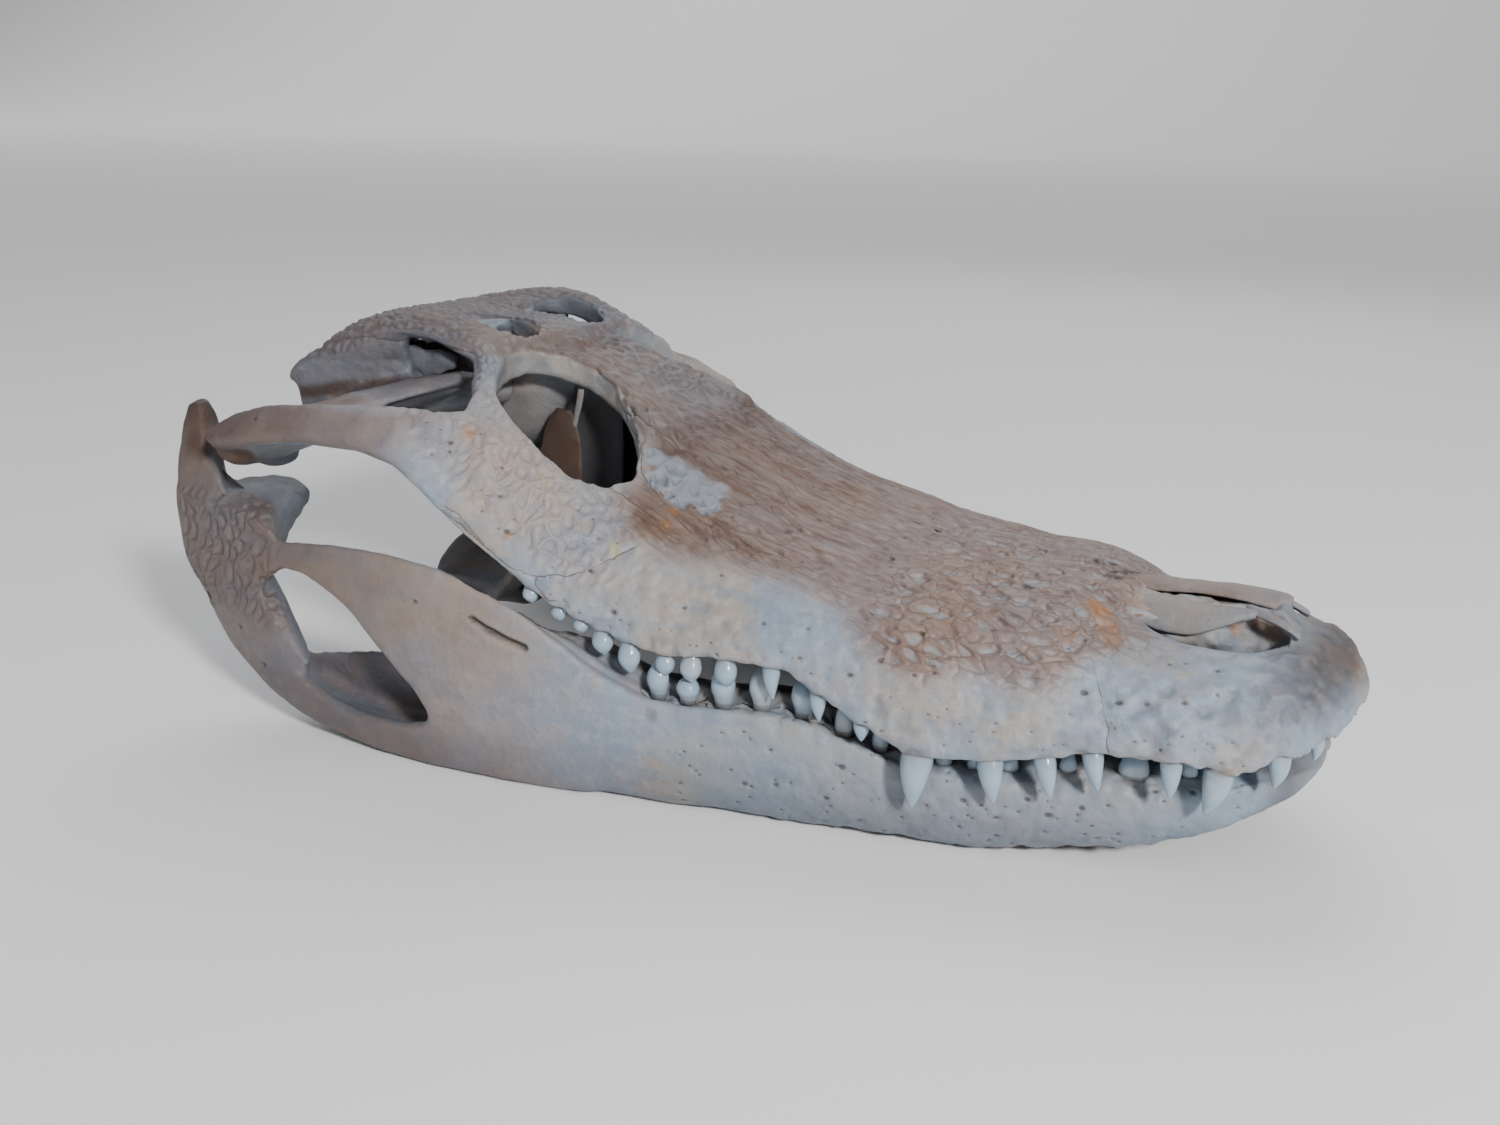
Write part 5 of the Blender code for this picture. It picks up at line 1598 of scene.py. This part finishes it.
def kinds(row, limit):
    """The model for each tooth: blunt bulbs behind the limit and slender fangs before it."""
    return [bulb if tooth.place < limit else fang for tooth in row]


PREMAXILLA_END = 108.0
teeth = []
for word, side in (("right", -1), ("left", 1)):
    upper = upper_rows[side]
    front = [tooth for tooth in upper if tooth.place > PREMAXILLA_END]
    middle = [tooth for tooth in upper if tooth.place <= PREMAXILLA_END]
    for node, row in (("premaxilla_" + word, front), ("maxilla_" + word, middle)):
        models = kinds(row, BLUNT_BEHIND["upper"])
        teeth.append(tooth_piece(node + "_teeth", node, row, models, 70 + side))
    lower = lower_rows[side]
    models = kinds(lower, BLUNT_BEHIND["lower"])
    node = "dentary_" + word
    teeth.append(tooth_piece(node + "_teeth", node, lower, models, 80 + side))
for model in (fang, bulb):
    bpy.data.objects.remove(model)

# %% [markdown]
# ## Bone and tooth materials
#
# Bleached bone is a warmer cream where it is rough and a cool blue-white where it is smooth. The ridges
# are pinkish tan and the hollows between them pale. One material serves all bones, or their colours
# would break at the sutures. It reads the values painted while sculpting, and adds fine mottling and
# grain from noise in object space. Painted shade darkens the tan tops, the creases, the pit bottoms and
# the nerve holes, and with some stain the gaps round the teeth. Enamel is smoother, bluer and a little
# glossy.

# %% Bone material
board = Board("bleached_bone")
where = board.objects_place()
hollow = board.painted("net")
relief = board.painted("relief")
warm_and_shaded = board.painted("warm_and_shaded")

broad = board.noise(where, 26.0, 3.0)
blotch = board.noise(where, 95.0, 4.0)
small = board.noise(where, 260.0, 3.0)
grain = board.noise(where, 700.0, 4.0, 0.65)
streak = board.noise(board.stretched(where, (0.2, 1.0, 1.0)), 260.0, 3.0)
wobble = (board.noise(where, 420.0, 2.0) - 0.5) * 0.7
flow = board.painted("flow")
round_part = board.painted("front")
level = board.lifted(where, board.painted("fall"))
long_lines = board.net(board.stretched(board.bent(level, 75.0, 0.004), (0.13, 1.0, 1.0)), 330.0)
round_lines = board.net(board.stretched(board.bent(level, 120.0, 0.005), (0.5, 1.0, 1.0)), 235.0)
long_streak = board.noise(board.stretched(level, (0.12, 1.0, 1.0)), 190.0, 3.0)

cool = board.mix(broad.rise(0.38, 0.64), tint(134, 149, 166), tint(157, 149, 140))
cool = board.mix(blotch.rise(0.5, 0.72) * 0.45, cool, tint(157, 141, 131))
cool = board.mix(streak.rise(0.46, 0.66) * 0.5, cool, tint(118, 134, 152))
cool = board.mix(small.rise(0.5, 0.64) * 0.3, cool, tint(172, 174, 172))
# The tan is darker than the cool bone: a warmer tone, and painted shade on the tops.
tan = board.mix(blotch.rise(0.34, 0.66), tint(134, 107, 94), tint(149, 128, 117))
colour = board.mix(warm_and_shaded * (0.5 + broad * 0.5), cool, tan)
colour = board.mix(long_streak.rise(0.48, 0.64) * flow * 0.6, colour, tint(112, 84, 68))
pale = board.mix(round_part, tint(158, 150, 147), tint(163, 170, 178))
colour = board.mix(relief * hollow.rise(0.3, 0.85) * 0.6, colour, pale)
edge = hollow.rise(0.08, 0.25) * (1 - hollow.rise(0.25, 0.5))
colour = board.mix(relief * edge * 0.3, colour, tint(120, 96, 86))
# Thin dark lines in the creases of the wrinkles: painted shade.
lines = (1 - long_lines.rise(0.0, 0.1)) * flow + (1 - round_lines.rise(0.0, 0.06)) * round_part
colour = board.mix(lines * 0.6, colour, tint(96, 74, 64))
furrow = 1 - board.painted("beads").rise(0.1, 0.75)
colour = board.mix(furrow * 0.4, colour, tint(118, 100, 92))
colour = board.mix(small.rise(0.62, 0.8) * 0.25, colour, tint(136, 118, 108))
# Painted shade in the low places of the smooth lumps.
colour = board.mix(board.painted("dip_shade") * (0.2 + blotch * 0.6), colour, tint(112, 118, 128))
# Pit bottoms in the pale patches: a darker blue, painted shade; streaks of noise vary it.
depth = hollow.rise(0.2, 0.9) * relief * 0.6 + streak * 0.5
bluish = board.mix(depth, tint(138, 153, 167), tint(90, 112, 134))
colour = board.mix(board.painted("pale") * 0.65, colour, bluish)
# Inward faces: a darker blue-grey, painted shade.
colour = board.mix(board.painted("inner") * 0.5, colour, tint(120, 128, 137))
colour = board.mix(board.painted("yellow") * blotch.rise(0.3, 0.6) * 0.6, colour, tint(168, 162, 112))
colour = board.mix(board.painted("orange") * blotch.rise(0.25, 0.6) * 0.75, colour, tint(160, 112, 62))
brown = board.mix(board.painted("brown") * (0.45 + blotch * 0.7), tint(255, 255, 255), tint(168, 136, 112))
colour = board.mix(1.0, colour, brown, "MULTIPLY")
# Older, browner bone, and painted shade on the tops, the back, the underside and in recesses.
aged_and_shaded = board.mix(board.painted("age_and_shade"), tint(255, 255, 255), tint(184, 177, 176))
colour = board.mix(1.0, colour, aged_and_shaded, "MULTIPLY")
colour = board.mix(board.painted("black") * small.rise(0.4, 0.55) * 0.95, colour, tint(46, 34, 28))
# Painted shade in the nostrils, the mouth, the recesses, the eye socket and along the jaw's slit and
# trough.
colour = board.mix(board.painted("deep_shade") * 0.9, colour, tint(58, 50, 44))
# Dark ring round each tooth socket: painted shade in the gap, with some stain.
colour = board.mix((1 - board.painted("gum").rise(0.0, 0.7)) * 0.45, colour, tint(88, 74, 66))
# Nerve holes painted dark, as the shade inside them.
colour = board.mix((1 - board.painted("spot").rise(-0.15, 0.25)) * 0.75, colour, tint(68, 56, 50))
crack = board.painted("crack")
line = (1 - (crack + wobble).size().rise(0.1, 0.36)) * (1 - crack.size().rise(1.0, 1.7))
colour = board.mix(line * 0.75, colour, tint(62, 50, 44))
board.finish("Base Color", colour)
board.finish("Roughness", 0.40 + grain * 0.24)
board.finish("Specular IOR Level", 0.4)
ridges = grain * 0.6 + small * 1.0 + blotch * 1.2
ridges = ridges + long_lines.rise(0.0, 0.35) * flow * 1.6 + round_lines.rise(0.0, 0.25) * round_part * 1.2
board.finish("Normal", board.bump(ridges, 0.55, 0.8 * MM))
for piece in bones + plates:
    piece.data.materials.append(board.material)
print("bone material nodes", len(board.tree.nodes))

# %% Tooth material
board = Board("tooth_enamel")
where = board.objects_place()
up_crown = board.painted("crown")
streaks = board.noise(board.stretched(where, (1.0, 1.0, 0.18)), 900.0, 3.0)
cloud = board.noise(where, 160.0, 3.0)
colour = board.mix(up_crown.rise(-0.05, 0.4), tint(140, 155, 166), tint(146, 168, 187))
colour = board.mix(cloud.rise(0.45, 0.7) * 0.35, colour, tint(174, 182, 186))
colour = board.mix(streaks.rise(0.55, 0.8) * 0.25, colour, tint(156, 154, 148))
colour = board.mix(board.painted("shade").rise(0.8, 1.0) * 0.3, colour, tint(186, 178, 172))
# Dark band at the foot of each crown: painted shade where it enters the bone, with some stain.
colour = board.mix((1 - up_crown.rise(-0.02, 0.05)) * 0.5, colour, tint(96, 82, 74))
board.finish("Base Color", colour)
board.finish("Roughness", 0.16 + cloud * 0.12)
board.finish("Coat Weight", 0.3)
board.finish("Normal", board.bump(streaks, 0.1, 0.3 * MM))
for piece in teeth:
    piece.data.materials.append(board.material)
print("tooth material nodes", len(board.tree.nodes))
